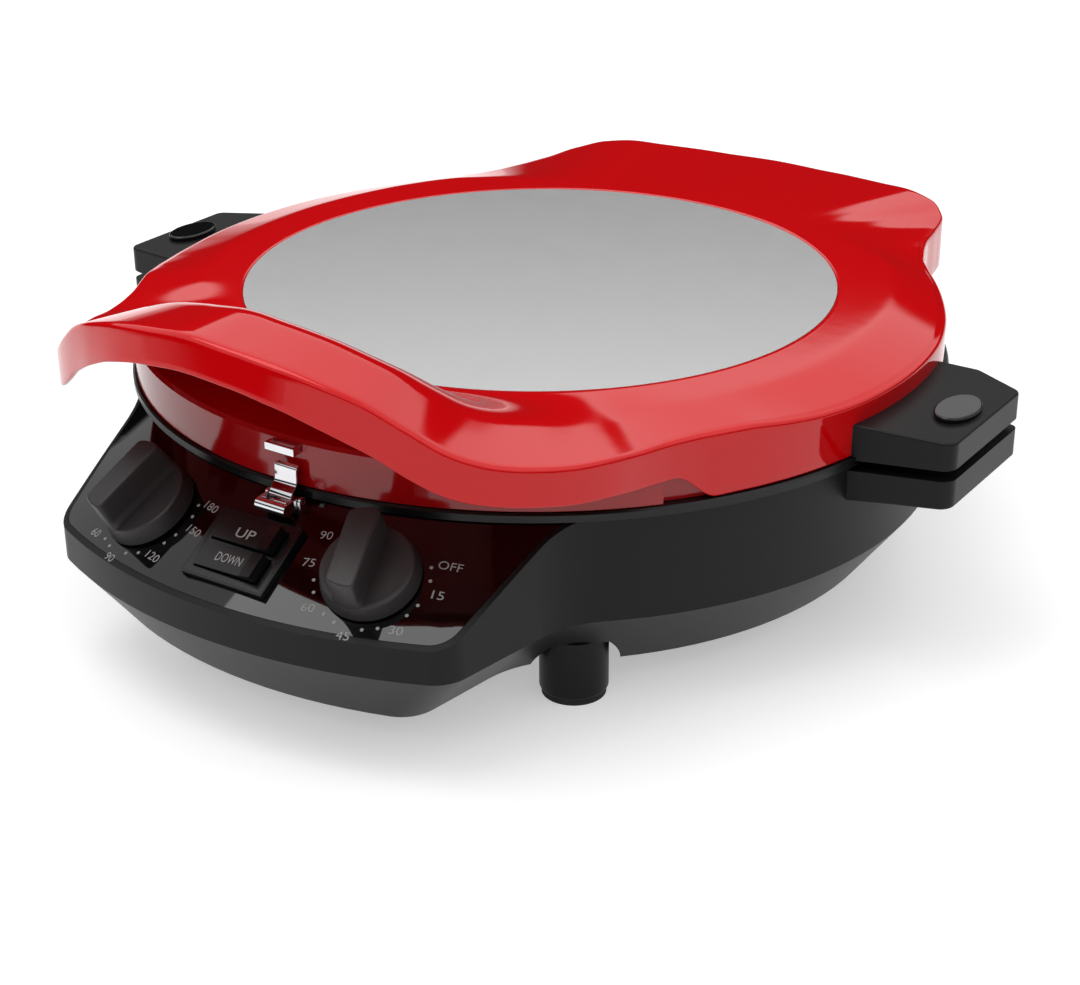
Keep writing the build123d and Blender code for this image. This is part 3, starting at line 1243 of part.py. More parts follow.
with BuildPart() as lid_shell:
    with BuildSketch(upright(-SHELL_FRONT_AZIMUTH)):
        with BuildLine():
            Polyline(
                (SHELL_R - SHELL_WALL, LID_Z),
                (SKIRT_R, LID_Z),
                (SKIRT_R, SHELL_FRONT_Z),
                (SKIRT_R - SHELL_FRONT_BEVEL, SHELL_FRONT_Z + SHELL_FRONT_BEVEL),
                (SHELL_STEP_R, deck_top_z - SHELL_STEP_DROP),
                (SHELL_KNEE_R, deck_top_z - SHELL_KNEE_DROP),
                (SHELL_SHOULDER_R, deck_top_z),
                (SHELL_SHOULDER_R, deck_top_z - SHELL_WALL),
                (chamfer_r, chamfer_z),
                (SHELL_R - SHELL_WALL, SHELL_CHAMFER_Z),
                close=True,
            )
        make_face()
    revolve(axis=COOKING_AXIS, revolution_arc=2 * SHELL_FRONT_AZIMUTH)
    with BuildSketch(upright(90)):
        with BuildLine():
            Polyline(
                (0, deck_top_z),
                (SHELL_SHOULDER_R, deck_top_z),
                (chamfer_r, chamfer_z),
                (SHELL_R, SHELL_CHAMFER_Z),
                (SHELL_R, LID_Z),
                (SHELL_R - SHELL_WALL, LID_Z),
                (SHELL_R - SHELL_WALL, SHELL_CHAMFER_Z - SHELL_WALL / 2),
                (chamfer_r - SHELL_WALL / 2, chamfer_z - SHELL_WALL),
                (SHELL_SHOULDER_R - SHELL_WALL / 4, deck_top_z - SHELL_WALL),
                (0, deck_top_z - SHELL_WALL),
                close=True,
            )
        make_face()
    revolve(axis=COOKING_AXIS)
    add(shell_ring)
    add(lid_posts)
    add(lid_post_pilots, mode=Mode.SUBTRACT)
    add(upper_screw_holes, mode=Mode.SUBTRACT)
save(lid_shell, "lid_shell")


def wave_at(azimuth, column):
    """One column of the visor's or the lobe's wave at an azimuth: a smooth cubic between its stations."""
    wave = VISOR_WAVE if azimuth < 90 else LOBE_WAVE
    turn = min(azimuth, 180 - azimuth)
    places = [station[0] for station in wave]
    values = [station[column] for station in wave]
    gaps = [after - before for before, after in zip(places, places[1:])]
    rises = [(after - before) / gap for before, after, gap in zip(values, values[1:], gaps)]
    inner_slopes = [2 * a * b / (a + b) if a * b > 0 else 0.0 for a, b in zip(rises, rises[1:])]
    slopes = [0.0, *inner_slopes, 0.0]
    last = max(number for number, station in enumerate(places[:-1]) if station <= turn)
    share = (turn - places[last]) / gaps[last]
    bend = share * (1 - share) ** 2 * slopes[last] - share**2 * (1 - share) * slopes[last + 1]
    return values[last] + ease(share) * (values[last + 1] - values[last]) + gaps[last] * bend


def reach_at(azimuth):
    """Plan radius of the cover's top edge: the skirt's, plus a share of the visor's or lobe's overhang."""
    overhang = VISOR_OVERHANG if azimuth < 90 else LOBE_OVERHANG
    return SKIRT_R + overhang * wave_at(azimuth, 1)


def edge_at(azimuth):
    """Height of the cover's top edge above the disc: the sides' drop, plus a share of the crest's lift."""
    lift = VISOR_LIFT if azimuth < 90 else -LOBE_DROP
    return (lift + SIDE_DROP) * wave_at(azimuth, 2) - SIDE_DROP


def draft_at(azimuth):
    """How much further out the visor's band stands at its lower edge than at its top edge."""
    return VISOR_DRAFT * ease((DRAFT_END_AZIMUTH - azimuth) / (DRAFT_END_AZIMUTH - DRAFT_FULL_AZIMUTH))


def band_at(azimuth):
    """Height of the band's lower edge above the disc: a band's depth below the top edge, then the skirt."""
    fall = ease((azimuth - BAND_FALL_START) / (BAND_FALL_END - BAND_FALL_START))
    return (1 - fall) * (edge_at(azimuth) - VISOR_BAND * wave_at(azimuth, 3)) + fall * (LID_Z - DECK_Z)


def swept_share(azimuth, share):
    """Share of the edge's height that the cover has at a share of its width: level, then past the crease."""
    width = reach_at(azimuth) - DISC_R
    crease = CREASE_WIDTH * wave_at(azimuth, 4) / width
    past = (share - crease) / (1 - crease)
    sharp = (past + hypot(past, CREASE_SOFTNESS)) / (1 + hypot(1, CREASE_SOFTNESS))
    turn = (azimuth - CREASE_START_AZIMUTH) / (CREASE_FULL_AZIMUTH - CREASE_START_AZIMUTH)
    return (1 - ease(turn)) * ease(share / RISE_SHARE) + ease(turn) * sharp


def cover_section(azimuth):
    """Radial section of the cover at an azimuth: the disc's ledge, the swept top and the band."""
    reach = reach_at(azimuth)
    edge = edge_at(azimuth)
    outer = reach + draft_at(azimuth)
    band_z = DECK_Z + band_at(azimuth)
    under_rise = edge - COVER_WALL + DECK_Z - ledge_under_z
    top = [(DISC_R, DECK_Z)]
    below = [(DISC_R, ledge_under_z)]
    for share in COVER_SHARES:
        swept = swept_share(azimuth, share)
        top.append((DISC_R + (reach - DISC_R) * share, DECK_Z + edge * swept))
        below.append((DISC_R + (reach - COVER_WALL - DISC_R) * share, ledge_under_z + under_rise * swept))
    with BuildSketch(upright(azimuth), mode=Mode.PRIVATE) as section:
        with BuildLine():
            Polyline((DISC_R, DECK_Z), (DISC_R, ledge_z), (DISC_R - DISC_LEDGE, ledge_z))
            Polyline((DISC_R - DISC_LEDGE, ledge_z), (DISC_R - DISC_LEDGE, ledge_under_z), below[0])
            Spline(below)
            Polyline(below[-1], (outer - COVER_WALL, band_z))
            Line((outer - COVER_WALL, band_z), (outer, band_z))
            Line((outer, band_z), top[-1])
            Spline(list(reversed(top)))
        make_face()
    return section.sketch


cover_half = loft([cover_section(azimuth) for azimuth in range(0, 181, COVER_STEP)], ruled=True)
cover_skin = [face for face in cover_half.faces() if face.center().X > CHECK_TOL]
mirrored_skin = [mirror(face, about=Plane.YZ) for face in cover_skin]
cover_solid = Solid(Shell([*cover_skin, *mirrored_skin]))
with BuildPart() as lid_cover:
    add(cover_solid)
    add(upper_screw_holes, mode=Mode.SUBTRACT)
save(lid_cover, "lid_cover")

with BuildPart() as lid_disc:
    with BuildSketch(level(ledge_z)):
        Circle(DISC_R - DISC_GAP)
    extrude(amount=DISC_THICKNESS)
save(lid_disc, "lid_disc")

# Lid plate: the upper baking surface, a dish turned down, screwed to the shell's posts
with BuildPart() as lid_plate:
    with BuildSketch(upright(90)):
        with BuildLine():
            Polyline(
                (0, plate_top_z),
                (LID_PLATE_FLAT_R, plate_top_z),
                (LID_PLATE_MOUTH_R, plate_rim_z + LID_PLATE_SHEET),
                (plate_rim_r, plate_rim_z + LID_PLATE_SHEET),
                (plate_rim_r, plate_rim_z),
                (LID_PLATE_MOUTH_R + LID_PLATE_SHEET / 2, plate_rim_z),
                (LID_PLATE_FLAT_R + LID_PLATE_SHEET / 2, plate_top_z - LID_PLATE_SHEET),
                (0, plate_top_z - LID_PLATE_SHEET),
                close=True,
            )
        make_face()
    revolve(axis=COOKING_AXIS)
    add(lid_post_holes, mode=Mode.SUBTRACT)
save(lid_plate, "lid_plate")

with BuildPart() as lid_plate_screws:
    with BuildSketch(level(plate_top_z - LID_PLATE_SHEET)):
        with Locations(*post_places):
            Circle(SCREW_HEAD_R)
    extrude(amount=-SCREW_HEAD)
    with BuildSketch(level(plate_top_z - LID_PLATE_SHEET)):
        with Locations(*post_places):
            Circle(SCREW_R)
    extrude(amount=LID_PLATE_SHEET + SCREW_REACH)
save(lid_plate_screws, "lid_plate_screws")

# Upper heater: a lipped reflector against the deck, a ring element and its clips
deck_under_z = deck_top_z - SHELL_WALL
with BuildPart() as upper_reflector:
    with BuildSketch(upright(90)):
        with BuildLine():
            Polyline(
                (0, deck_under_z),
                (0, deck_under_z - REFLECTOR_SHEET),
                (UPPER_REFLECTOR_R - REFLECTOR_SHEET, deck_under_z - REFLECTOR_SHEET),
                (UPPER_REFLECTOR_R - REFLECTOR_SHEET, deck_under_z - UPPER_REFLECTOR_LIP),
                (UPPER_REFLECTOR_R, deck_under_z - UPPER_REFLECTOR_LIP),
                (UPPER_REFLECTOR_R, deck_under_z),
                close=True,
            )
        make_face()
    revolve(axis=COOKING_AXIS)
save(upper_reflector, "upper_reflector")

with BuildPart() as upper_element:
    with BuildSketch(upright(90)):
        with Locations((ELEMENT_R, UPPER_ELEMENT_Z)):
            Circle(ELEMENT_TUBE_R)
    revolve(axis=COOKING_AXIS)
save(upper_element, "upper_element")

upper_clip_solids = element_clips(
    UPPER_ELEMENT_Z, UPPER_ELEMENT_Z - ELEMENT_TUBE_R, deck_under_z - REFLECTOR_SHEET
)
with BuildPart() as upper_element_clips:
    add(upper_clip_solids)
save(upper_element_clips, "upper_element_clips")

# Mains inlet: a gland through the back wall, bare, and the terminal block inside
gland_inner = gland_root - HOUSING_WALL - GLAND_INSIDE
with BuildPart() as cord_gland:
    with BuildSketch(gland_plane.offset(gland_inner)):
        Circle(GLAND_FLANGE_R)
    extrude(amount=-GLAND_FLANGE)
    with BuildSketch(gland_plane.offset(gland_inner)):
        Circle(GLAND_R)
    extrude(amount=gland_root + GLAND_NECK - gland_inner)
    with BuildSketch(gland_plane.offset(gland_root + GLAND_NECK)):
        Circle(GLAND_R)
    extrude(amount=GLAND_LENGTH - GLAND_NECK, taper=GLAND_TAPER)
    with BuildSketch(gland_plane.offset(gland_inner - GLAND_FLANGE)):
        Circle(GLAND_BORE_R)
    extrude(amount=GLAND_LENGTH + gland_root - gland_inner + GLAND_FLANGE, mode=Mode.SUBTRACT)
save(cord_gland, "cord_gland")

with BuildPart() as terminal_block:
    with BuildSketch(level(PLATE_TOP_Z)):
        with Locations((TERMINAL_X, TERMINAL_Y)):
            Rectangle(TERMINAL_LENGTH, TERMINAL_WIDTH)
    extrude(amount=TERMINAL_HEIGHT)
save(terminal_block, "terminal_block")
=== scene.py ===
"""Looks of the countertop pizza maker: smooth moulded surfaces, printed dials and studio light.

Lengths are in metres in the model's own frame: +Z up, the control panel towards -Y. Ring shapes are
worked out about the cooking axis, which stands AXIS_Y behind the origin; an azimuth is an angle about
that axis from the front, positive towards +X. Local shapes are written in millimetres and scaled once.
"""

import json
import math

import bmesh
import bpy
import numpy as np
from mathutils import Matrix


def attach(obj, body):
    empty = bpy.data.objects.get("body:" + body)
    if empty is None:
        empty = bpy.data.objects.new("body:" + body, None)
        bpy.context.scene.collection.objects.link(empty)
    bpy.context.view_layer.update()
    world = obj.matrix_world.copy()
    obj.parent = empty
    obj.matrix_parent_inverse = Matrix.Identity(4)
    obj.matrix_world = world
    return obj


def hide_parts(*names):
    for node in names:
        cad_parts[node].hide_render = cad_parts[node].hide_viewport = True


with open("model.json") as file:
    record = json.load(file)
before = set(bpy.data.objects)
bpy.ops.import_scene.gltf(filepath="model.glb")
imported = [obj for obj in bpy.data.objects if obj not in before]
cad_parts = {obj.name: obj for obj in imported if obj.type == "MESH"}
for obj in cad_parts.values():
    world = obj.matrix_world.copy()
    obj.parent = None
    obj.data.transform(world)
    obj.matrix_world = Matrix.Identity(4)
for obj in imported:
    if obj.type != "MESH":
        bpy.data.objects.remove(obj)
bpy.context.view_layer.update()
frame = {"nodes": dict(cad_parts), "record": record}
NODES = frame["nodes"]

MM = 0.001
AXIS_Y = 4.0

# Mesh clean-up: distances in metres, angles in degrees
WELD = 1e-6
FINE_WELD = 1e-7
FLAT_ANGLE = 0.6
EDGE_ANGLE = 30.0
SHARP_ANGLE = 50.0
EDGE_SEGMENTS = 3

# Camera, as fitted to the photograph: metres, degrees and, for the lens, millimetres
CAMERA_PLACE = (0.55554, -0.81254, 0.48597)
CAMERA_AZIMUTH = 34.279
CAMERA_ELEVATION = 25.392
CAMERA_ROLL = -0.441
CAMERA_LENS = 70.84
SENSOR_WIDTH = 36.0
CAMERA_RANGE = 200.0

# Lid cover, in millimetres
DECK_Z = 134.0
LID_Z = 102.3
SKIRT_R = 198.2
DISC_R = 145.0
DISC_THICKNESS = 1.2
LEDGE_R = 138.0
LEDGE_THICKNESS = 1.4
LEDGE_STEP = 0.05
COVER_WALL = 2.5
BAND_ZONE = 3.75
COVER_COLUMNS = 720
COVER_STEPS = 41
INNER_EDGE_STEPS = 4
TOP_EDGE_STEPS = 7
BAND_STEPS = 8
LIP_STEPS = 5
UNDER_STEPS = 24
VISOR_OVERHANG = 50.8
VISOR_DRAFT = 4.2
VISOR_LIFT = 50.7
VISOR_BAND = 17.0
DRAFT_FULL = 8.0
DRAFT_END = 20.0
LOBE_OVERHANG = 47.0
LOBE_DROP = 1.6
SIDE_DROP = 7.2
BAND_START = 50.0
BAND_END = 56.0
CREASE_WIDTH = 23.0
CREASE_SOFTNESS = 0.09
CREASE_START = 40.0
CREASE_FULL = 56.0
RISE_SHARE = 0.7
FLANK_RISE_SHARE = 0.52
FLANK_START = 16.0
FLANK_FULL = 36.0
TOP_EDGE_R = 2.2
LIP_R = 0.9
DISC_EDGE_R = 0.5

# The cover's wave: azimuth, then shares of the overhang, the lift, the band's depth and the crease's width
VISOR_WAVE = (
    (0.0, 1.0, 1.0, 0.86, 0.0),
    (5.0, 1.0, 0.966, 0.86, 0.0),
    (10.0, 1.0, 0.907, 0.94, 0.0),
    (14.0, 1.0, 0.829, 1.08, 0.02),
    (18.0, 0.98, 0.72, 1.21, 0.22),
    (22.0, 0.943, 0.542, 1.24, 0.53),
    (26.0, 0.89, 0.358, 1.14, 0.86),
    (30.0, 0.805, 0.249, 1.03, 1.08),
    (34.0, 0.69, 0.19, 1.0, 1.15),
    (38.0, 0.553, 0.15, 0.99, 1.12),
    (42.0, 0.39, 0.126, 0.98, 1.05),
    (46.0, 0.21, 0.098, 0.98, 1.0),
    (50.0, 0.087, 0.093, 1.0, 1.0),
    (55.0, 0.014, 0.088, 1.0, 1.0),
    (60.0, 0.0, 0.083, 1.0, 1.0),
    (66.0, 0.0, 0.048, 1.0, 1.0),
    (72.0, 0.0, 0.017, 1.0, 1.0),
    (80.0, 0.0, 0.0, 1.0, 1.0),
    (90.0, 0.0, 0.0, 1.0, 1.0),
)
LOBE_WAVE = (
    (0.0, 1.0, 1.0, 1.0, 0.52),
    (6.0, 1.0, 0.96, 1.0, 0.52),
    (12.0, 1.0, 1.1, 1.0, 0.54),
    (17.0, 1.028, 1.18, 1.0, 0.56),
    (21.0, 1.062, 1.3, 1.0, 0.6),
    (25.0, 1.079, 1.04, 1.0, 0.68),
    (29.0, 0.953, 0.55, 1.0, 0.8),
    (33.0, 0.634, 0.3, 1.0, 0.9),
    (37.0, 0.328, 0.34, 1.0, 1.0),
    (41.0, 0.14, 0.27, 1.0, 1.1),
    (45.0, 0.026, 0.2, 1.0, 1.18),
    (50.0, -0.01, 0.07, 1.0, 1.28),
    (60.0, -0.03, 0.06, 1.0, 1.2),
    (70.0, -0.014, 0.04, 1.0, 1.1),
    (78.0, 0.0, 0.02, 1.0, 1.05),
    (90.0, 0.0, 0.0, 1.0, 1.0),
)

# Control panel, its print and its knobs, in millimetres and degrees
PANEL_SLOPE = 32.0
PANEL_TOP_Z = 97.0
PANEL_TOP_R = 200.0
PANEL_ROUNDS = 6
PRINT_LIFT = 0.03
PRINT_THICKNESS = 0.04
LETTER_STEPS = 4
CONTROLS_AZIMUTH = 0.55
KNOB_AZIMUTH = 15.6
KNOB_RING_R = 225.5
KNOB_FOOT_Z = 0.6
KNOB_FOOT_R = 21.6
KNOB_FOOT_EDGE = 0.6
KNOB_FOOT_RISE = 0.5
KNOB_FOOT_LEAN = 0.1
KNOB_FOOT_BAND = 1.4
KNOB_SHOULDER_Z = 9.0
KNOB_SHOULDER_R = 20.2
KNOB_TOP_Z = 24.0
KNOB_TOP_R = 19.0
KNOB_DISH = 0.7
KNOB_EDGE_R = 1.0
KNOB_EDGE_STEPS = 6
DRUM_STEPS = 128
DISH_STEPS = 12
GRIP_STEPS = 192
GRIP_SIDE_STEPS = 9
CROWN_STEPS = 8
GRIP_HALF = 6.5
GRIP_SHIFT = -2.8
GRIP_CORNER = 16.0
GRIP_FLARE = 1.1
GRIP_CROWN = 0.25
SWITCH_AZIMUTH = 0.75
SWITCH_RING_R = 227.3


def ease(share):
    """Smooth step: three times the square less twice the cube of a share held between 0 and 1."""
    held = np.clip(share, 0.0, 1.0)
    return held * held * (3.0 - 2.0 * held)


def add_mesh(name, points, faces, smooth=True):
    """A new object at the origin from points in metres and faces as rows of point numbers."""
    mesh = bpy.data.meshes.new(name)
    mesh.from_pydata(np.asarray(points).tolist(), [], [tuple(face) for face in np.asarray(faces).tolist()])
    mesh.update()
    mesh.polygons.foreach_set("use_smooth", np.full(len(mesh.polygons), smooth))
    return link(name, mesh)


def grid_faces(rows, columns, close_rows, close_columns):
    """Four-sided faces over a grid of points, joined last to first along a side that closes."""
    row = np.arange(rows if close_rows else rows - 1)
    column = np.arange(columns if close_columns else columns - 1)
    a = row[:, None] * columns + column[None, :]
    b = row[:, None] * columns + (column[None, :] + 1) % columns
    c = (row[:, None] + 1) % rows * columns + (column[None, :] + 1) % columns
    d = (row[:, None] + 1) % rows * columns + column[None, :]
    return np.stack([a, b, c, d], -1).reshape(-1, 4)


def weld(mesh, distance, flat=0.0):
    """Joins points closer than a distance, and then faces that meet flatter than an angle."""
    work = bmesh.new()
    work.from_mesh(mesh)
    bmesh.ops.remove_doubles(work, verts=work.verts, dist=distance)
    if flat > 0.0:
        bmesh.ops.dissolve_limit(work, angle_limit=math.radians(flat), verts=work.verts, edges=work.edges)
    work.to_mesh(mesh)
    work.free()


def shade(mesh, angle):
    """Smooth faces, with the edges that turn by more than an angle left sharp."""
    mesh.polygons.foreach_set("use_smooth", np.ones(len(mesh.polygons), dtype=bool))
    mesh.set_sharp_from_angle(angle=math.radians(angle))


def link(name, mesh):
    """A new object at the origin that shows a mesh."""
    piece = bpy.data.objects.new(name, mesh)
    bpy.context.scene.collection.objects.link(piece)
    return piece


def place(piece, body, slot, finish, *replaced):
    """Puts a piece on its body, gives it its finish and hides the nodes it stands for; its slot is not used.
    """
    piece.data.materials.clear()
    piece.data.materials.append(finish)
    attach(piece, body)
    if replaced:
        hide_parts(*replaced)
    return piece


class Value:
    """One output socket that takes part in arithmetic: each operation adds a Math node."""

    def __init__(self, look, socket):
        self.look = look
        self.socket = socket

    def math(self, operation, first, second):
        return self.look.node("ShaderNodeMath", {"operation": operation}, {0: first, 1: second})

    def __add__(self, other):
        return self.math("ADD", self, other)

    def __sub__(self, other):
        return self.math("SUBTRACT", self, other)

    def __rsub__(self, other):
        return self.math("SUBTRACT", other, self)

    def __mul__(self, other):
        return self.math("MULTIPLY", self, other)

    def __truediv__(self, other):
        return self.math("DIVIDE", self, other)

    def __pow__(self, other):
        return self.math("POWER", self, other)

    __radd__ = __add__
    __rmul__ = __mul__


class Look:
    """A node tree being put together, for a material or for the world."""

    def __init__(self, tree):
        self.tree = tree
        tree.nodes.clear()

    def node(self, kind, settings=None, inputs=None, output=0):
        """Adds a node: its settings first, a ramp's stops among them, then its sockets' values or links."""
        made = self.tree.nodes.new(kind)
        for name, setting in (settings or {}).items():
            if name == "stops":
                self.set_stops(made.color_ramp, setting)
            else:
                setattr(made, name, setting)
        for name, given in (inputs or {}).items():
            if isinstance(given, Value):
                self.tree.links.new(given.socket, made.inputs[name])
            else:
                made.inputs[name].default_value = given
        return Value(self, made.outputs[output]) if len(made.outputs) else made

    def set_stops(self, ramp, stops):
        """Sets a ramp's stops from pairs of a position and a grey level or a colour."""
        while len(ramp.elements) > 1:
            ramp.elements.remove(ramp.elements[-1])
        for number, (position, tone) in enumerate(stops):
            stop = ramp.elements[0] if number == 0 else ramp.elements.new(position)
            stop.position = position
            stop.color = tone if isinstance(tone, tuple) else (tone, tone, tone, 1.0)

    def object_point(self):
        return self.node("ShaderNodeTexCoord", output=3)

    def noise(self, scale, detail=3.0, roughness=0.5, stretch=(1.0, 1.0, 1.0)):
        """Noise over the object's own coordinates, from 0 to 1, which can be stretched."""
        moved = self.node("ShaderNodeMapping", None, {"Vector": self.object_point(), "Scale": stretch})
        sockets = {"Vector": moved, "Scale": scale, "Detail": detail, "Roughness": roughness}
        return self.node("ShaderNodeTexNoise", None, sockets)

    def mix(self, share, first, second):
        """A colour between two, by a share."""
        sockets = {0: share, 6: first, 7: second}
        return self.node("ShaderNodeMix", {"data_type": "RGBA"}, sockets, output=2)


def rgb(red, green, blue):
    """A colour given as it shows on screen, from 0 to 255, as the linear colour that shaders use."""
    shown = np.array([red, green, blue]) / 255.0
    linear = np.where(shown <= 0.04045, shown / 12.92, ((shown + 0.055) / 1.055) ** 2.4)
    return (*linear.tolist(), 1.0)


def surface(name, base, roughness, bump=None, depth=0.0001, **fixed):
    """A material from functions that give its colour, its roughness and its relief on one node tree."""
    material = bpy.data.materials.new(name)
    material.use_nodes = True
    look = Look(material.node_tree)
    sockets = {"Base Color": base(look), "Roughness": roughness(look)}
    if bump is not None:
        sockets["Normal"] = look.node("ShaderNodeBump", None, {"Height": bump(look), "Distance": depth})
    sockets.update({key.replace("_", " "): given for key, given in fixed.items()})
    shader = look.node("ShaderNodeBsdfPrincipled", None, sockets)
    look.node("ShaderNodeOutputMaterial", None, {"Surface": shader})
    return material


def toned(first, second, scale, stretch=(1.0, 1.0, 1.0)):
    """A colour that drifts between two tones over the surface."""
    return lambda look: look.mix(look.noise(scale, stretch=stretch), first, second)


def varied(low, high, scale, stretch=(1.0, 1.0, 1.0)):
    """A number that drifts between two values over the surface."""
    return lambda look: look.noise(scale, stretch=stretch) * (high - low) + low


def grain(scale, detail=2.0):
    """Fine even relief."""
    return lambda look: look.noise(scale, detail)


COVER_RED = surface(
    "cover_red", toned(rgb(212, 5, 12), rgb(206, 4, 11), 9.0),
    varied(0.04, 0.07, 14.0), grain(60.0), 0.00002, Specular_IOR_Level=1.0,
    Specular_Tint=(1.0, 0.35, 0.35, 1.0),
)
SHELL_RED = surface(
    "shell_red", toned(rgb(178, 12, 19), rgb(170, 10, 16), 9.0),
    varied(0.08, 0.14, 14.0), grain(60.0), 0.00003,
)
DISC_GREY = surface(
    "disc_grey", toned(rgb(242, 242, 242), rgb(238, 238, 238), 40.0),
    varied(0.24, 0.27, 60.0), grain(2200.0, 3.0), 0.00001, Metallic=0.92,
)
BODY_BLACK = surface(
    "body_black", toned(rgb(20, 20, 21), rgb(16, 16, 17), 12.0),
    varied(0.36, 0.44, 20.0), grain(900.0), 0.00003, Specular_IOR_Level=0.2,
)
PANEL_GLOSS = surface(
    "panel_gloss", toned(rgb(6, 6, 6), rgb(4, 4, 4), 12.0),
    varied(0.02, 0.04, 10.0), None,
)
RIM_BLACK = surface(
    "rim_black", toned(rgb(18, 18, 19), rgb(14, 14, 15), 15.0),
    varied(0.28, 0.36, 25.0), grain(700.0), 0.00002, Specular_IOR_Level=0.3,
)
KNOB_PLASTIC = surface(
    "knob_plastic", toned(rgb(50, 47, 48), rgb(45, 42, 43), 30.0),
    varied(0.38, 0.48, 60.0), grain(1500.0), 0.00003, Specular_IOR_Level=0.4,
)
ROCKER_PLASTIC = surface(
    "rocker_plastic", toned(rgb(17, 17, 18), rgb(13, 13, 14), 30.0),
    varied(0.18, 0.26, 60.0), grain(1200.0), 0.00002, Specular_IOR_Level=0.4,
)
PAD_PLASTIC = surface(
    "pad_plastic", toned(rgb(9, 9, 10), rgb(6, 6, 7), 30.0),
    varied(0.05, 0.09, 60.0), grain(300.0), 0.00001,
)
RUBBER = surface(
    "rubber", toned(rgb(30, 30, 30), rgb(22, 22, 22), 60.0),
    varied(0.7, 0.85, 80.0), grain(1400.0), 0.00008,
)
CHROME = surface(
    "chrome", toned(rgb(225, 225, 227), rgb(210, 210, 213), 90.0),
    varied(0.06, 0.14, 150.0), grain(500.0), 0.00001, Metallic=1.0,
)
ZINC_STEEL = surface(
    "zinc_steel", toned(rgb(178, 176, 170), rgb(160, 160, 158), 180.0),
    varied(0.25, 0.42, 250.0), grain(1800.0), 0.00002, Metallic=1.0,
)
ALUMINIUM = surface(
    "aluminium", toned(rgb(200, 200, 202), rgb(186, 186, 189), 30.0, (1.0, 1.0, 8.0)),
    varied(0.3, 0.45, 90.0), grain(900.0), 0.00003, Metallic=1.0,
)
NONSTICK = surface(
    "nonstick", toned(rgb(44, 44, 46), rgb(30, 30, 32), 700.0),
    varied(0.35, 0.5, 300.0), grain(1300.0), 0.00005,
)
ELEMENT = surface(
    "element", toned(rgb(96, 90, 84), rgb(66, 62, 60), 70.0),
    varied(0.45, 0.65, 120.0), grain(900.0), 0.00004, Metallic=0.8,
)
CERAMIC = surface(
    "ceramic", toned(rgb(226, 220, 206), rgb(208, 200, 184), 60.0),
    varied(0.55, 0.75, 90.0), grain(800.0), 0.00005,
)
FITTING_PLASTIC = surface(
    "fitting_plastic", toned(rgb(34, 34, 35), rgb(26, 26, 27), 60.0),
    varied(0.45, 0.6, 90.0), grain(1000.0), 0.00004,
)
PRINT_WHITE = surface(
    "print_white", toned(rgb(160, 160, 160), rgb(146, 146, 146), 300.0),
    varied(0.45, 0.6, 400.0), grain(2500.0), 0.00001,
)

FINISHES = {
    "black_plastic": BODY_BLACK,
    "panel_gloss": PANEL_GLOSS,
    "rim_black": RIM_BLACK,
    "rubber": RUBBER,
    "zinc_steel": ZINC_STEEL,
    "chrome": CHROME,
    "nonstick": NONSTICK,
    "element": ELEMENT,
    "aluminium": ALUMINIUM,
    "ceramic": CERAMIC,
    "fitting_plastic": FITTING_PLASTIC,
    "knob_plastic": KNOB_PLASTIC,
    "rocker_plastic": ROCKER_PLASTIC,
    "pad_plastic": PAD_PLASTIC,
    "cover_red": COVER_RED,
    "shell_red": SHELL_RED,
    "disc_grey": DISC_GREY,
}


def dress_nodes():
    """Gives each CAD node the finish of the material slot that the record names for it."""
    for subpart in frame["record"]["subparts"]:
        node = NODES[subpart["node"]]
        node.data.materials.clear()
        node.data.materials.append(FINISHES[subpart["material_slot"]])


def through(stations, column, turn):
    """A cubic through a column of stations: slopes are harmonic means of the rises beside a station."""
    table = np.array(stations)
    place, value = table[:, 0], table[:, column]
    gap = np.diff(place)
    rise = np.diff(value) / gap
    product, total = rise[:-1] * rise[1:], rise[:-1] + rise[1:]
    inner = np.where(product > 0.0, 2.0 * product / np.where(total == 0.0, 1.0, total), 0.0)
    slope = np.concatenate([[0.0], inner, [0.0]])
    low = np.clip(np.searchsorted(place, turn, side="right") - 1, 0, len(gap) - 1)
    share = (turn - place[low]) / gap[low]
    bend = share * (1.0 - share) ** 2 * slope[low] - share**2 * (1.0 - share) * slope[low + 1]
    return value[low] + ease(share) * (value[low + 1] - value[low]) + gap[low] * bend


def wave(turn, front, column):
    """A column of the visor's stations where the front is, and of the lobe's elsewhere."""
    return np.where(front, through(VISOR_WAVE, column, turn), through(LOBE_WAVE, column, turn))


def cover_reach(turn, front):
    """Radius of the cover's top edge: the skirt's, plus a share of the visor's or the lobe's overhang."""
    return SKIRT_R + np.where(front, VISOR_OVERHANG, LOBE_OVERHANG) * wave(turn, front, 1)


def cover_draft(turn, front):
    """How far the visor's band stands out further at its lower edge; the lobe's is upright."""
    return np.where(front, VISOR_DRAFT, 0.0) * ease((DRAFT_END - turn) / (DRAFT_END - DRAFT_FULL))


def cover_edge(turn, front):
    """Height of the top edge over the disc: the sides' drop, plus a share of the crest's lift over it."""
    lift = np.where(front, VISOR_LIFT, -LOBE_DROP)
    return (lift + SIDE_DROP) * wave(turn, front, 2) - SIDE_DROP


def cover_band(turn, front):
    """Height of the band's lower edge: a band's depth under the visor's crest, then the skirt's foot."""
    fall = ease((turn - BAND_START) / (BAND_END - BAND_START))
    strip = cover_edge(turn, front) - VISOR_BAND * wave(turn, front, 3)
    visor = (1.0 - fall) * strip + fall * (LID_Z - DECK_Z)
    return np.where(front, visor, LID_Z - DECK_Z)


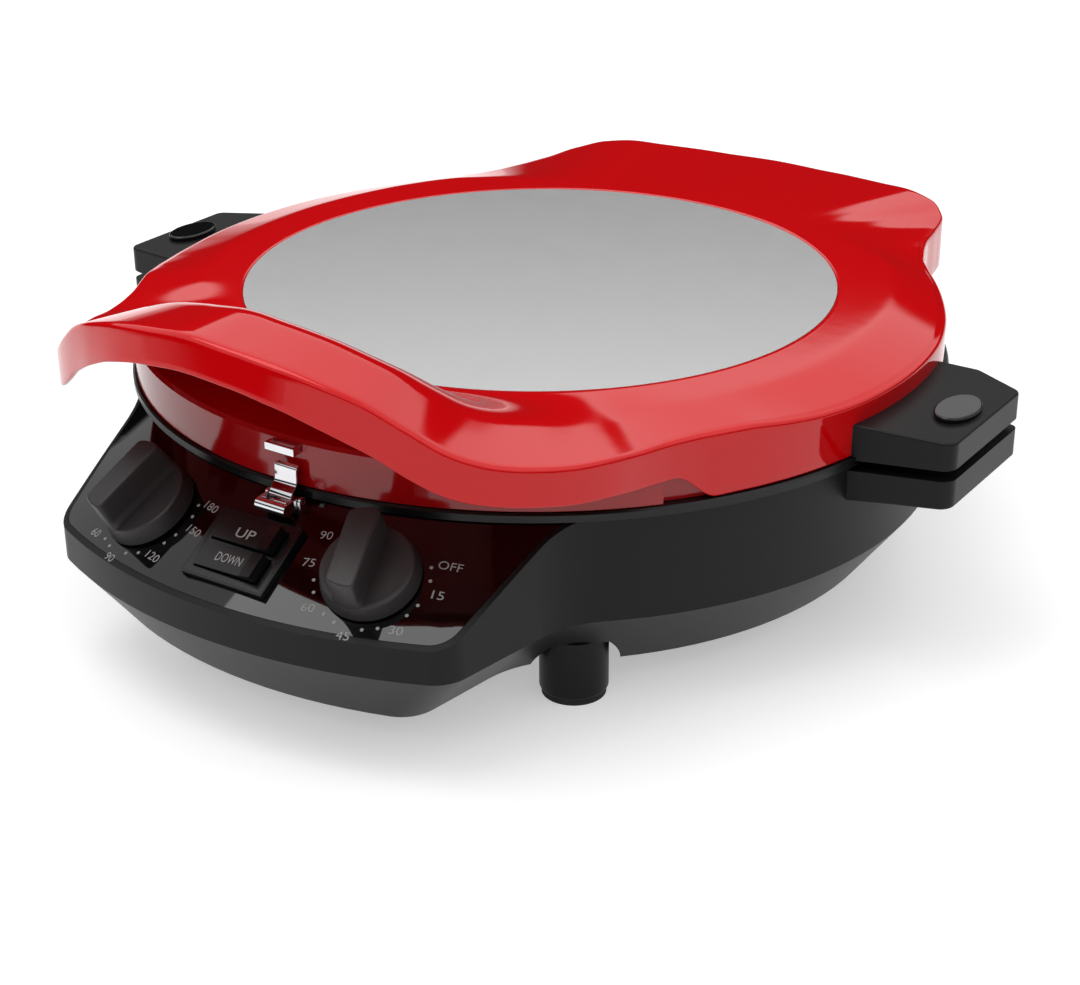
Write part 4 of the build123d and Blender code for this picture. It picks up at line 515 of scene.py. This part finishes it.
def cover_swept(turn, front, width, share):
    """Share of the edge's height at a share of the width: an early rise on the visor, creased elsewhere."""
    crease = CREASE_WIDTH * wave(turn, front, 4) / width
    past = (share - crease) / (1.0 - crease)
    creased = (past + np.hypot(past, CREASE_SOFTNESS)) / (1.0 + np.hypot(1.0, CREASE_SOFTNESS))
    mixed = np.where(front, ease((turn - CREASE_START) / (CREASE_FULL - CREASE_START)), 1.0)
    flank = ease((turn - FLANK_START) / (FLANK_FULL - FLANK_START))
    rise = RISE_SHARE + (FLANK_RISE_SHARE - RISE_SHARE) * flank
    return (1.0 - mixed) * ease(share / rise) + mixed * creased


def quarter(steps, start, end):
    """Cosines and sines of a few angles from start to end, in degrees, for a rounded corner."""
    angles = np.radians(np.linspace(start, end, steps))[None, :]
    return np.cos(angles), np.sin(angles)


def make_cover():
    """The red cover: at each azimuth a closed radial profile of a ledge, a swept top and a band."""
    azimuth = np.linspace(0.0, 360.0, COVER_COLUMNS, endpoint=False)
    signed = (azimuth + 180.0) % 360.0 - 180.0
    front = (np.abs(signed) < 90.0)[:, None]
    turn = np.minimum(np.abs(signed), 180.0 - np.abs(signed))[:, None]
    reach = cover_reach(turn, front)
    edge = DECK_Z + cover_edge(turn, front)
    band = DECK_Z + cover_band(turn, front)
    draft = cover_draft(turn, front)
    one = np.ones_like(reach)
    ledge_z = DECK_Z - DISC_THICKNESS
    under_z = ledge_z - LEDGE_THICKNESS

    share = np.linspace(0.0, 1.0, COVER_STEPS)[None, 1:-1]
    top_r = DISC_R + DISC_EDGE_R + (reach - TOP_EDGE_R - DISC_R - DISC_EDGE_R) * share
    width = reach - DISC_R
    top_z = DECK_Z + (edge - DECK_Z) * cover_swept(turn, front, width, (top_r - DISC_R) / width)
    inner_cos, inner_sin = quarter(INNER_EDGE_STEPS, 180.0, 90.0)
    outer_cos, outer_sin = quarter(TOP_EDGE_STEPS, 90.0, 0.0)
    down = np.linspace(0.0, 1.0, BAND_STEPS)[None, 1:-1]
    lip_cos, lip_sin = quarter(LIP_STEPS, 0.0, -90.0)
    back_cos, back_sin = quarter(LIP_STEPS, -90.0, -180.0)
    below = np.linspace(1.0, 0.0, UNDER_STEPS)[None, :]
    under_r = DISC_R + (reach - COVER_WALL - DISC_R) * below
    under_rise = edge - COVER_WALL - under_z
    radii = [
        LEDGE_R * one,
        (DISC_R - DISC_EDGE_R) * one,
        DISC_R * one,
        DISC_R + DISC_EDGE_R + DISC_EDGE_R * inner_cos * one,
        top_r,
        reach - TOP_EDGE_R + TOP_EDGE_R * outer_cos,
        reach * np.ones_like(down),
        reach - LIP_R + LIP_R * lip_cos,
        reach - COVER_WALL + LIP_R + LIP_R * back_cos,
        under_r,
        LEDGE_R * one,
    ]
    heights = [
        ledge_z * one,
        ledge_z * one,
        (ledge_z + LEDGE_STEP) * one,
        DECK_Z - DISC_EDGE_R + DISC_EDGE_R * inner_sin * one,
        top_z,
        edge - TOP_EDGE_R + TOP_EDGE_R * outer_sin,
        edge - TOP_EDGE_R + (band + LIP_R - edge + TOP_EDGE_R) * down,
        band + LIP_R + LIP_R * lip_sin,
        band + LIP_R + LIP_R * back_sin,
        under_z + under_rise * cover_swept(turn, front, width, below),
        under_z * one,
    ]
    radius = np.concatenate([r * np.ones_like(z) for r, z in zip(radii, heights)], axis=1)
    height = np.concatenate([z * np.ones_like(r) for r, z in zip(radii, heights)], axis=1)
    outside = radius > reach - BAND_ZONE
    radius = radius + outside * draft * np.clip((edge - height) / (edge - band), 0.0, 1.0)
    around = np.radians(azimuth)[:, None]
    points = np.stack([radius * np.sin(around), AXIS_Y - radius * np.cos(around), height], -1)
    rows, columns = radius.shape
    faces = grid_faces(rows, columns, True, True)
    return add_mesh("cover_skin", points.reshape(-1, 3) * MM, faces)


def panel_frame(azimuth, radius):
    """Origin and axes on the panel's cone: along the panel, up the slope and square out of it."""
    slope, turn = math.radians(PANEL_SLOPE), math.radians(azimuth)
    height = PANEL_TOP_Z - math.tan(slope) * (radius - PANEL_TOP_R)
    origin = np.array([radius * math.sin(turn), AXIS_Y - radius * math.cos(turn), height])
    along = np.array([math.cos(turn), math.sin(turn), 0.0])
    out = np.array([math.sin(slope) * math.sin(turn), -math.sin(slope) * math.cos(turn), math.cos(slope)])
    return origin, along, np.cross(out, along), out


def on_panel(local, azimuth, radius):
    """Drops local points along the frame's normal on to the cone, and lifts them by their own height."""
    origin, along, up, out = panel_frame(azimuth, radius)
    flat = origin + local[:, :1] * along + local[:, 1:2] * up
    slope = math.tan(math.radians(PANEL_SLOPE))
    drop = np.zeros(len(flat))
    for _ in range(PANEL_ROUNDS):
        point = flat - drop[:, None] * out
        ring_r = np.hypot(point[:, 0], point[:, 1] - AXIS_Y)
        above = point[:, 2] - (PANEL_TOP_Z - slope * (ring_r - PANEL_TOP_R))
        drop = drop + above * math.cos(math.radians(PANEL_SLOPE))
    return flat - drop[:, None] * out + local[:, 2:3] * out


def word_mesh(text, width, height, x, y):
    """Points and faces of a word in millimetres, fitted to a box round a local place, and slightly thick."""
    curve = bpy.data.curves.new("word", "FONT")
    curve.body = text
    curve.extrude = PRINT_THICKNESS / 2
    curve.resolution_u = LETTER_STEPS
    holder = bpy.data.objects.new("word", curve)
    bpy.context.scene.collection.objects.link(holder)
    bpy.context.view_layer.update()
    mesh = bpy.data.meshes.new_from_object(holder)
    points = np.zeros(len(mesh.vertices) * 3)
    mesh.vertices.foreach_get("co", points)
    points = points.reshape(-1, 3)
    faces = [tuple(polygon.vertices) for polygon in mesh.polygons]
    bpy.data.objects.remove(holder)
    bpy.data.curves.remove(curve)
    bpy.data.meshes.remove(mesh)
    low, high = points[:, :2].min(axis=0), points[:, :2].max(axis=0)
    fitted = (points[:, :2] - (low + high) / 2.0) / (high - low) * (width, height) + (x, y)
    lift = points[:, 2:3] + PRINT_THICKNESS / 2 + PRINT_LIFT
    return np.hstack([fitted, lift]), faces


def dot_mesh(radius, x, y):
    """Points and faces of a printed dot: a short upright prism of many sides."""
    turn = np.linspace(0.0, 2.0 * np.pi, DOT_SIDES, endpoint=False)
    ring = np.stack([x + radius * np.cos(turn), y + radius * np.sin(turn)], -1)
    low = np.hstack([ring, np.full((DOT_SIDES, 1), PRINT_LIFT)])
    high = np.hstack([ring, np.full((DOT_SIDES, 1), PRINT_LIFT + PRINT_THICKNESS)])
    sides = [tuple(face) for face in grid_faces(2, DOT_SIDES, False, True).tolist()]
    ends = [tuple(range(DOT_SIDES - 1, -1, -1)), tuple(range(DOT_SIDES, 2 * DOT_SIDES))]
    return np.vstack([low, high]), sides + ends


def joined(parts):
    """Several pairs of points and faces as one."""
    points, faces, count = [], [], 0
    for more_points, more_faces in parts:
        points.append(more_points)
        faces += [tuple(number + count for number in face) for face in more_faces]
        count += len(more_points)
    return np.vstack(points), faces


def add_print(name, points, faces):
    """A printed piece from points in millimetres and faces of mixed length."""
    mesh = bpy.data.meshes.new(name)
    mesh.from_pydata((points * MM).tolist(), [], faces)
    mesh.update()
    return link(name, mesh)


def polar(angle, radius):
    return radius * math.cos(math.radians(angle)), radius * math.sin(math.radians(angle))


# Each dial: the azimuth of its knob, its dots' angles, and its numbers with width, angle and radius
DOT_RING_R = 24.9
DOT_R = 0.8
DOT_SIDES = 16
DIGIT_HEIGHT = 3.9
DIALS = {
    "timer_dial": (
        CONTROLS_AZIMUTH + KNOB_AZIMUTH,
        (20.6, 5.7, -22.4, -36.8, -66.8, -81.8, -111.7, -126.4, -154.5, -168.6),
        (
            ("OFF", 10.4, 19.2, 32.9),
            ("15", 5.2, -6.4, 30.0),
            ("30", 5.8, -51.8, 28.6),
            ("45", 5.8, -97.0, 28.8),
            ("60", 5.8, -141.0, 28.8),
            ("75", 5.6, 174.0, 29.4),
            ("90", 5.8, 146.8, 31.0),
        ),
    ),
    "temperature_dial": (
        CONTROLS_AZIMUTH - KNOB_AZIMUTH,
        (28.0, 14.0, -11.0, -24.9, -54.3, -69.9, -98.0, -112.0),
        (
            ("180", 7.9, 26.0, 32.2),
            ("150", 7.9, 2.0, 31.2),
            ("120", 7.9, -38.0, 29.4),
            ("90", 5.6, -85.5, 28.8),
            ("60", 5.6, -127.6, 28.8),
        ),
    ),
}


def make_dials():
    """The printed dials: dots on a ring round each knob and a number beside every other dot."""
    made = []
    for name, (azimuth, dots, labels) in DIALS.items():
        parts = [dot_mesh(DOT_R, *polar(angle, DOT_RING_R)) for angle in dots]
        for text, width, angle, radius in labels:
            parts.append(word_mesh(text, width, DIGIT_HEIGHT, *polar(angle, radius)))
        points, faces = joined(parts)
        made.append(add_print(name, on_panel(points, azimuth, KNOB_RING_R), faces))
    return made


def put(local, origin, along, up, out):
    """Local points as points of the model, along a frame's three axes."""
    return origin + local[..., :1] * along + local[..., 1:2] * up + local[..., 2:3] * out


def knob_drum():
    """The knob's drum, turned about its axis: a tapered side, a rounded edge and a dished top."""
    cosine, sine = quarter(KNOB_EDGE_STEPS, 0.0, 90.0)
    inner = np.linspace(1.0, 0.0, DISH_STEPS)[1:]
    edge_r = KNOB_SHOULDER_R - KNOB_EDGE_R
    radius = np.concatenate([
        [0.0, KNOB_FOOT_R - KNOB_FOOT_EDGE, KNOB_FOOT_R, KNOB_FOOT_R - KNOB_FOOT_LEAN],
        edge_r + KNOB_EDGE_R * cosine[0],
        edge_r * inner,
    ])
    height = np.concatenate([
        [KNOB_FOOT_Z, KNOB_FOOT_Z, KNOB_FOOT_Z + KNOB_FOOT_RISE, KNOB_FOOT_Z + KNOB_FOOT_BAND],
        KNOB_SHOULDER_Z - KNOB_EDGE_R + KNOB_EDGE_R * sine[0],
        KNOB_SHOULDER_Z - KNOB_DISH * (1.0 - inner**2) ** 0.5,
    ])
    turn = np.linspace(0.0, 2.0 * np.pi, DRUM_STEPS, endpoint=False)[None, :]
    radius, level = radius[:, None], height[:, None] * np.ones_like(turn)
    return np.stack([radius * np.cos(turn), radius * np.sin(turn), level], -1)


def knob_grip():
    """The grip across the drum: stacked outlines, each a strip cut by a circle with softened corners."""
    rise = np.linspace(0.0, 1.0, GRIP_SIDE_STEPS)
    foot_z = KNOB_SHOULDER_Z - 2.0 * KNOB_DISH
    side_z = foot_z + (KNOB_TOP_Z - KNOB_EDGE_R - foot_z) * rise
    cosine, sine = quarter(KNOB_EDGE_STEPS, 0.0, 90.0)
    inner = np.linspace(1.0, 0.0, CROWN_STEPS)[1:]
    edge_z = KNOB_TOP_Z - KNOB_EDGE_R + KNOB_EDGE_R * sine[0][1:]
    height = np.concatenate([side_z, edge_z, KNOB_TOP_Z + GRIP_CROWN * (1.0 - inner**2)])
    inset = np.concatenate([0.0 * side_z, KNOB_EDGE_R * (1.0 - cosine[0][1:]), KNOB_EDGE_R + 0.0 * inner])
    shrink = np.concatenate([np.ones(len(side_z) + len(edge_z)), inner])
    flare = GRIP_FLARE * (1.0 - ease((height - KNOB_SHOULDER_Z) / (2.0 * GRIP_FLARE)))
    share = np.clip((height - KNOB_SHOULDER_Z) / (KNOB_TOP_Z - KNOB_SHOULDER_Z), 0.0, 1.0)
    circle = (KNOB_SHOULDER_R + (KNOB_TOP_R - KNOB_SHOULDER_R) * share - inset)[:, None]
    turn = np.linspace(0.0, 2.0 * np.pi, GRIP_STEPS, endpoint=False)[None, :]
    half = (GRIP_HALF + flare - inset)[:, None]
    strip = half / np.maximum(np.abs(np.cos(turn)), 1e-6)
    across = GRIP_SHIFT * np.cos(turn)
    disc = -across + np.sqrt(circle**2 - GRIP_SHIFT**2 + across**2)
    reach = (strip**-GRIP_CORNER + disc**-GRIP_CORNER) ** (-1.0 / GRIP_CORNER) * shrink[:, None]
    level = height[:, None] * np.ones_like(turn)
    return np.stack([GRIP_SHIFT + reach * np.cos(turn), reach * np.sin(turn), level], -1)


def capped(name, rows_list, place_points):
    """A piece from stacks of closed loops: each stack's first and last loops are filled by single faces."""
    points, faces, count = [], [], 0
    for rows in rows_list:
        levels, steps = rows.shape[:2]
        points.append(place_points(rows).reshape(-1, 3))
        faces += [tuple(face) for face in (grid_faces(levels, steps, False, True) + count).tolist()]
        faces.append(tuple(range(count + steps - 1, count - 1, -1)))
        faces.append(tuple(range(count + (levels - 1) * steps, count + levels * steps)))
        count += levels * steps
    mesh = bpy.data.meshes.new(name)
    mesh.from_pydata((np.vstack(points) * MM).tolist(), [], faces)
    weld(mesh, FINE_WELD)
    shade(mesh, SHARP_ANGLE)
    return link(name, mesh)


def make_knobs():
    """Both knobs: a drum with a grip across it, set square on the panel's cone."""
    for name, side in (("temperature", -1.0), ("timer", 1.0)):
        axes = panel_frame(CONTROLS_AZIMUTH + side * KNOB_AZIMUTH, KNOB_RING_R)
        knob = capped(f"{name}_grip", [knob_drum(), knob_grip()], lambda local: put(local, *axes))
        place(knob, f"{name}_control", "knob_plastic", KNOB_PLASTIC, f"{name}_knob")


def softened(name, body, slot, width):
    """A copy of a CAD node, welded and with its flat faces joined, whose sharp edges are rounded."""
    source = NODES[name]
    mesh = source.data.copy()
    mesh.transform(source.matrix_world)
    weld(mesh, WELD, FLAT_ANGLE)
    shade(mesh, EDGE_ANGLE)
    piece = link(f"{name}_soft", mesh)
    bevel = piece.modifiers.new("edges", "BEVEL")
    bevel.width = width * MM
    bevel.segments = EDGE_SEGMENTS
    bevel.limit_method = "ANGLE"
    bevel.angle_limit = math.radians(EDGE_ANGLE)
    bevel.harden_normals = True
    return place(piece, body, slot, FINISHES[slot], name)


# Rockers' words: name, text, width, height and place on the tilted face
ROCKER_TILT = 7.0
ROCKER_FALL = 3.59
ROCKER_FACE_Z = 5.16
ROCKER_WORDS = (
    ("up", "UP", 10.3, 4.6, -0.4, 6.2),
    ("down", "DOWN", 14.2, 4.3, -0.6, -7.0),
)


def make_rocker_words():
    """UP and DOWN on the rockers: flat words on the tilted face, which falls towards the middle."""
    origin, along, up, out = panel_frame(SWITCH_AZIMUTH, SWITCH_RING_R)
    tilt = math.radians(ROCKER_TILT - ROCKER_FALL)
    tilted = along * math.cos(tilt) + out * math.sin(tilt)
    square = out * math.cos(tilt) - along * math.sin(tilt)
    for name, text, width, height, x, y in ROCKER_WORDS:
        points, faces = word_mesh(text, width, height, x, y)
        points[:, 2] += ROCKER_FACE_Z
        word = add_print(f"{name}_word", put(points, origin, tilted, up, square), faces)
        place(word, f"{name}_switch", "rocker_plastic", PRINT_WHITE)


# CAD nodes shown with rounded edges: node, body, slot and the rounding's width
SOFT_NODES = (
    ("switch_frame", "base", "rocker_plastic", 0.5),
    ("up_rocker", "up_switch", "rocker_plastic", 0.5),
    ("down_rocker", "down_switch", "rocker_plastic", 0.5),
    ("latch_keeper", "lid", "chrome", 0.3),
    ("latch_bracket", "base", "chrome", 0.25),
    ("latch_lever", "latch_lever", "chrome", 0.3),
)


# Latch strap: a ribbon bent up from an eye round its pin, in radius from the body's axis and height
LATCH_X = 7.0
STRAP_WIDTH = 12.0
STRAP_THICKNESS = 1.2
STRAP_PIN_R = 206.9
STRAP_PIN_Z = 96.2
STRAP_EYE_R = 1.9
STRAP_BORE_R = 1.05
STRAP_EDGE_R = 0.35
STRAP_ROUNDS = 3
RIBBON_SIDES = 32
EYE_STEPS = 48
STRAP_PATH = (
    (206.9, 97.6),
    (206.9, 100.4),
    (204.6, 102.6),
    (202.5, 104.6),
    (202.5, 110.4),
    (202.2, 111.8),
    (200.9, 112.4),
)


def rounded_path(path, rounds):
    """A path of places with its corners cut: each round keeps a quarter and three quarters of every side."""
    places = np.array(path)
    for _ in range(rounds):
        early = 0.75 * places[:-1] + 0.25 * places[1:]
        late = 0.25 * places[:-1] + 0.75 * places[1:]
        middle = np.stack([early, late], 1).reshape(-1, 2)
        places = np.vstack([places[:1], middle, places[-1:]])
    return places


def ribbon_rows(places):
    """Closed loops along the strap's path: a thin bar's outline with round edges, square to the path."""
    heading = np.gradient(places, axis=0)
    heading /= np.linalg.norm(heading, axis=1)[:, None]
    normal = np.stack([heading[:, 1], -heading[:, 0]], -1)
    turn = np.linspace(0.0, 2.0 * np.pi, RIBBON_SIDES, endpoint=False)
    across = (STRAP_WIDTH / 2 - STRAP_EDGE_R) * np.sign(np.cos(turn)) + STRAP_EDGE_R * np.cos(turn)
    thick = (STRAP_THICKNESS / 2 - STRAP_EDGE_R) * np.sign(np.sin(turn)) + STRAP_EDGE_R * np.sin(turn)
    out_and_up = places[:, None, :] + normal[:, None, :] * thick[None, :, None]
    wide = np.broadcast_to(across[None, :, None], (len(places), RIBBON_SIDES, 1))
    return np.concatenate([wide, out_and_up], -1)


def eye_rows():
    """Closed loops round the strap's pin: a sleeve's section with its four corners cut."""
    half = STRAP_WIDTH / 2
    inner = half - STRAP_EDGE_R
    section = np.array([
        (-inner, STRAP_EYE_R),
        (inner, STRAP_EYE_R),
        (half, STRAP_EYE_R - STRAP_EDGE_R),
        (half, STRAP_BORE_R + STRAP_EDGE_R),
        (inner, STRAP_BORE_R),
        (-inner, STRAP_BORE_R),
        (-half, STRAP_BORE_R + STRAP_EDGE_R),
        (-half, STRAP_EYE_R - STRAP_EDGE_R),
    ])
    angle = np.linspace(0.0, 2.0 * np.pi, EYE_STEPS, endpoint=False)[:, None]
    across = np.broadcast_to(section[:, 0], (EYE_STEPS, len(section)))
    out = STRAP_PIN_R + section[:, 1] * np.cos(angle)
    return np.stack([across, out, STRAP_PIN_Z + section[:, 1] * np.sin(angle)], -1)


def make_strap():
    """The latch's strap: a ribbon with rounded edges along its path, and the eye round its pin."""
    ribbon = ribbon_rows(rounded_path(STRAP_PATH, STRAP_ROUNDS))
    eye = eye_rows()
    points = np.vstack([ribbon.reshape(-1, 3), eye.reshape(-1, 3)])
    points = np.stack([LATCH_X + points[:, 0], AXIS_Y - points[:, 1], points[:, 2]], -1)
    rows, count = len(ribbon), len(ribbon) * RIBBON_SIDES
    faces = [tuple(face) for face in grid_faces(rows, RIBBON_SIDES, False, True).tolist()]
    faces += [tuple(range(RIBBON_SIDES - 1, -1, -1)), tuple(range(count - RIBBON_SIDES, count))]
    faces += [tuple(face) for face in (grid_faces(*eye.shape[:2], True, True) + count).tolist()]
    piece = add_print("strap_ribbon", points, faces)
    work = bmesh.new()
    work.from_mesh(piece.data)
    bmesh.ops.recalc_face_normals(work, faces=work.faces)
    work.to_mesh(piece.data)
    work.free()
    shade(piece.data, SHARP_ANGLE)
    place(piece, "latch_strap", "chrome", CHROME, "latch_strap")


# Studio: floor, room and lamps, in metres and watts; heights are those of a ray's direction
FLOOR_HALF = 40.0
FLOOR_GREY = (0.75, 0.75, 0.75, 1.0)
FLOOR_GLOW = 0.42
WHITE = (1.0, 1.0, 1.0, 1.0)
ROOM_STOPS = [(0.0, 0.015), (0.35, 0.015), (0.37, 0.95), (1.0, 0.95)]
WALL_STOPS = [(0.01, 0.6), (0.07, 0.0)]
LAMP_AIM = (0.0, 0.0, 0.08)
LAMPS = (
    ("key", (-0.5, -0.6, 2.3), 1.4, 15.0),
    ("fill", (1.3, 0.3, 2.0), 1.2, 3.0),
)


def ray_kinds(look):
    """Whether a ray comes from the camera, from a reflection, or through something clear."""
    return tuple(look.node("ShaderNodeLightPath", output=name) for name in (
        "Is Camera Ray", "Is Glossy Ray", "Is Transmission Ray"))


def make_floor():
    """A pale floor that takes the shadow and glows a little for rays that show it."""
    sides = ((-1, -1), (1, -1), (1, 1), (-1, 1))
    corners = [(x * FLOOR_HALF, y * FLOOR_HALF, 0.0) for x, y in sides]
    floor = add_mesh("floor", corners, [(0, 1, 2, 3)], False)
    material = bpy.data.materials.new("floor_pale")
    material.use_nodes = True
    look = Look(material.node_tree)
    camera, glossy, clear = ray_kinds(look)
    matt = look.node("ShaderNodeBsdfDiffuse", None, {"Color": FLOOR_GREY})
    glow = look.node("ShaderNodeEmission", None, {"Strength": (camera + glossy + clear) * FLOOR_GLOW})
    both = look.node("ShaderNodeAddShader", None, {0: matt, 1: glow})
    look.node("ShaderNodeOutputMaterial", None, {"Surface": both})
    floor.data.materials.append(material)


def make_room():
    """A bright ceiling over a dark room, white behind the object and near the horizon."""
    world = bpy.data.worlds.new("studio")
    bpy.context.scene.world = world
    world.use_nodes = True
    look = Look(world.node_tree)
    camera, glossy, clear = ray_kinds(look)
    ray = look.node("ShaderNodeTexCoord", output=0)
    height = look.node("ShaderNodeSeparateXYZ", None, {"Vector": ray}, output=2)
    room = look.node("ShaderNodeValToRGB", {"stops": ROOM_STOPS}, {"Fac": height})
    wall = look.node("ShaderNodeValToRGB", {"stops": WALL_STOPS}, {"Fac": height})
    seen = look.mix(camera + (glossy + clear) * wall, room, WHITE)
    backdrop = look.node("ShaderNodeBackground", None, {"Color": seen, "Strength": 1.0})
    look.node("ShaderNodeOutputWorld", None, {"Surface": backdrop})


def make_lamps():
    """Two soft square lamps that look at the object: a key in front of it and a fill at its side."""
    for name, spot, size, power in LAMPS:
        lamp = bpy.data.lights.new(name, "AREA")
        lamp.size = size
        lamp.energy = power
        holder = bpy.data.objects.new(name, lamp)
        bpy.context.scene.collection.objects.link(holder)
        back = np.array(spot) - np.array(LAMP_AIM)
        back /= np.linalg.norm(back)
        side = np.cross((0.0, 0.0, 1.0), back)
        side /= np.linalg.norm(side)
        aim = Matrix.Identity(3)
        aim.col[0], aim.col[1], aim.col[2] = side, np.cross(back, side), back
        holder.matrix_world = Matrix.Translation(spot) @ aim.to_4x4()


def make_camera():
    """The camera at the photograph's angle: turned about Z, tipped down and rolled; colours as they are."""
    camera = bpy.data.cameras.new("camera")
    camera.lens = CAMERA_LENS
    camera.sensor_width = SENSOR_WIDTH
    camera.sensor_fit = "HORIZONTAL"
    camera.clip_end = CAMERA_RANGE
    holder = bpy.data.objects.new("camera", camera)
    bpy.context.scene.collection.objects.link(holder)
    turn = Matrix.Rotation(math.radians(CAMERA_AZIMUTH), 4, "Z")
    tip = Matrix.Rotation(math.radians(90.0 - CAMERA_ELEVATION), 4, "X")
    roll = Matrix.Rotation(math.radians(CAMERA_ROLL), 4, "Z")
    holder.matrix_world = Matrix.Translation(CAMERA_PLACE) @ turn @ tip @ roll
    bpy.context.scene.camera = holder
    bpy.context.scene.view_settings.view_transform = "Standard"


dress_nodes()
place(make_cover(), "lid", "cover_red", COVER_RED, "lid_cover")
for dial in make_dials():
    place(dial, "base", "panel_gloss", PRINT_WHITE)
make_knobs()
make_rocker_words()
make_strap()
for rounded_node, its_body, its_slot, its_width in SOFT_NODES:
    softened(rounded_node, its_body, its_slot, its_width)
make_floor()
make_room()
make_lamps()
make_camera()
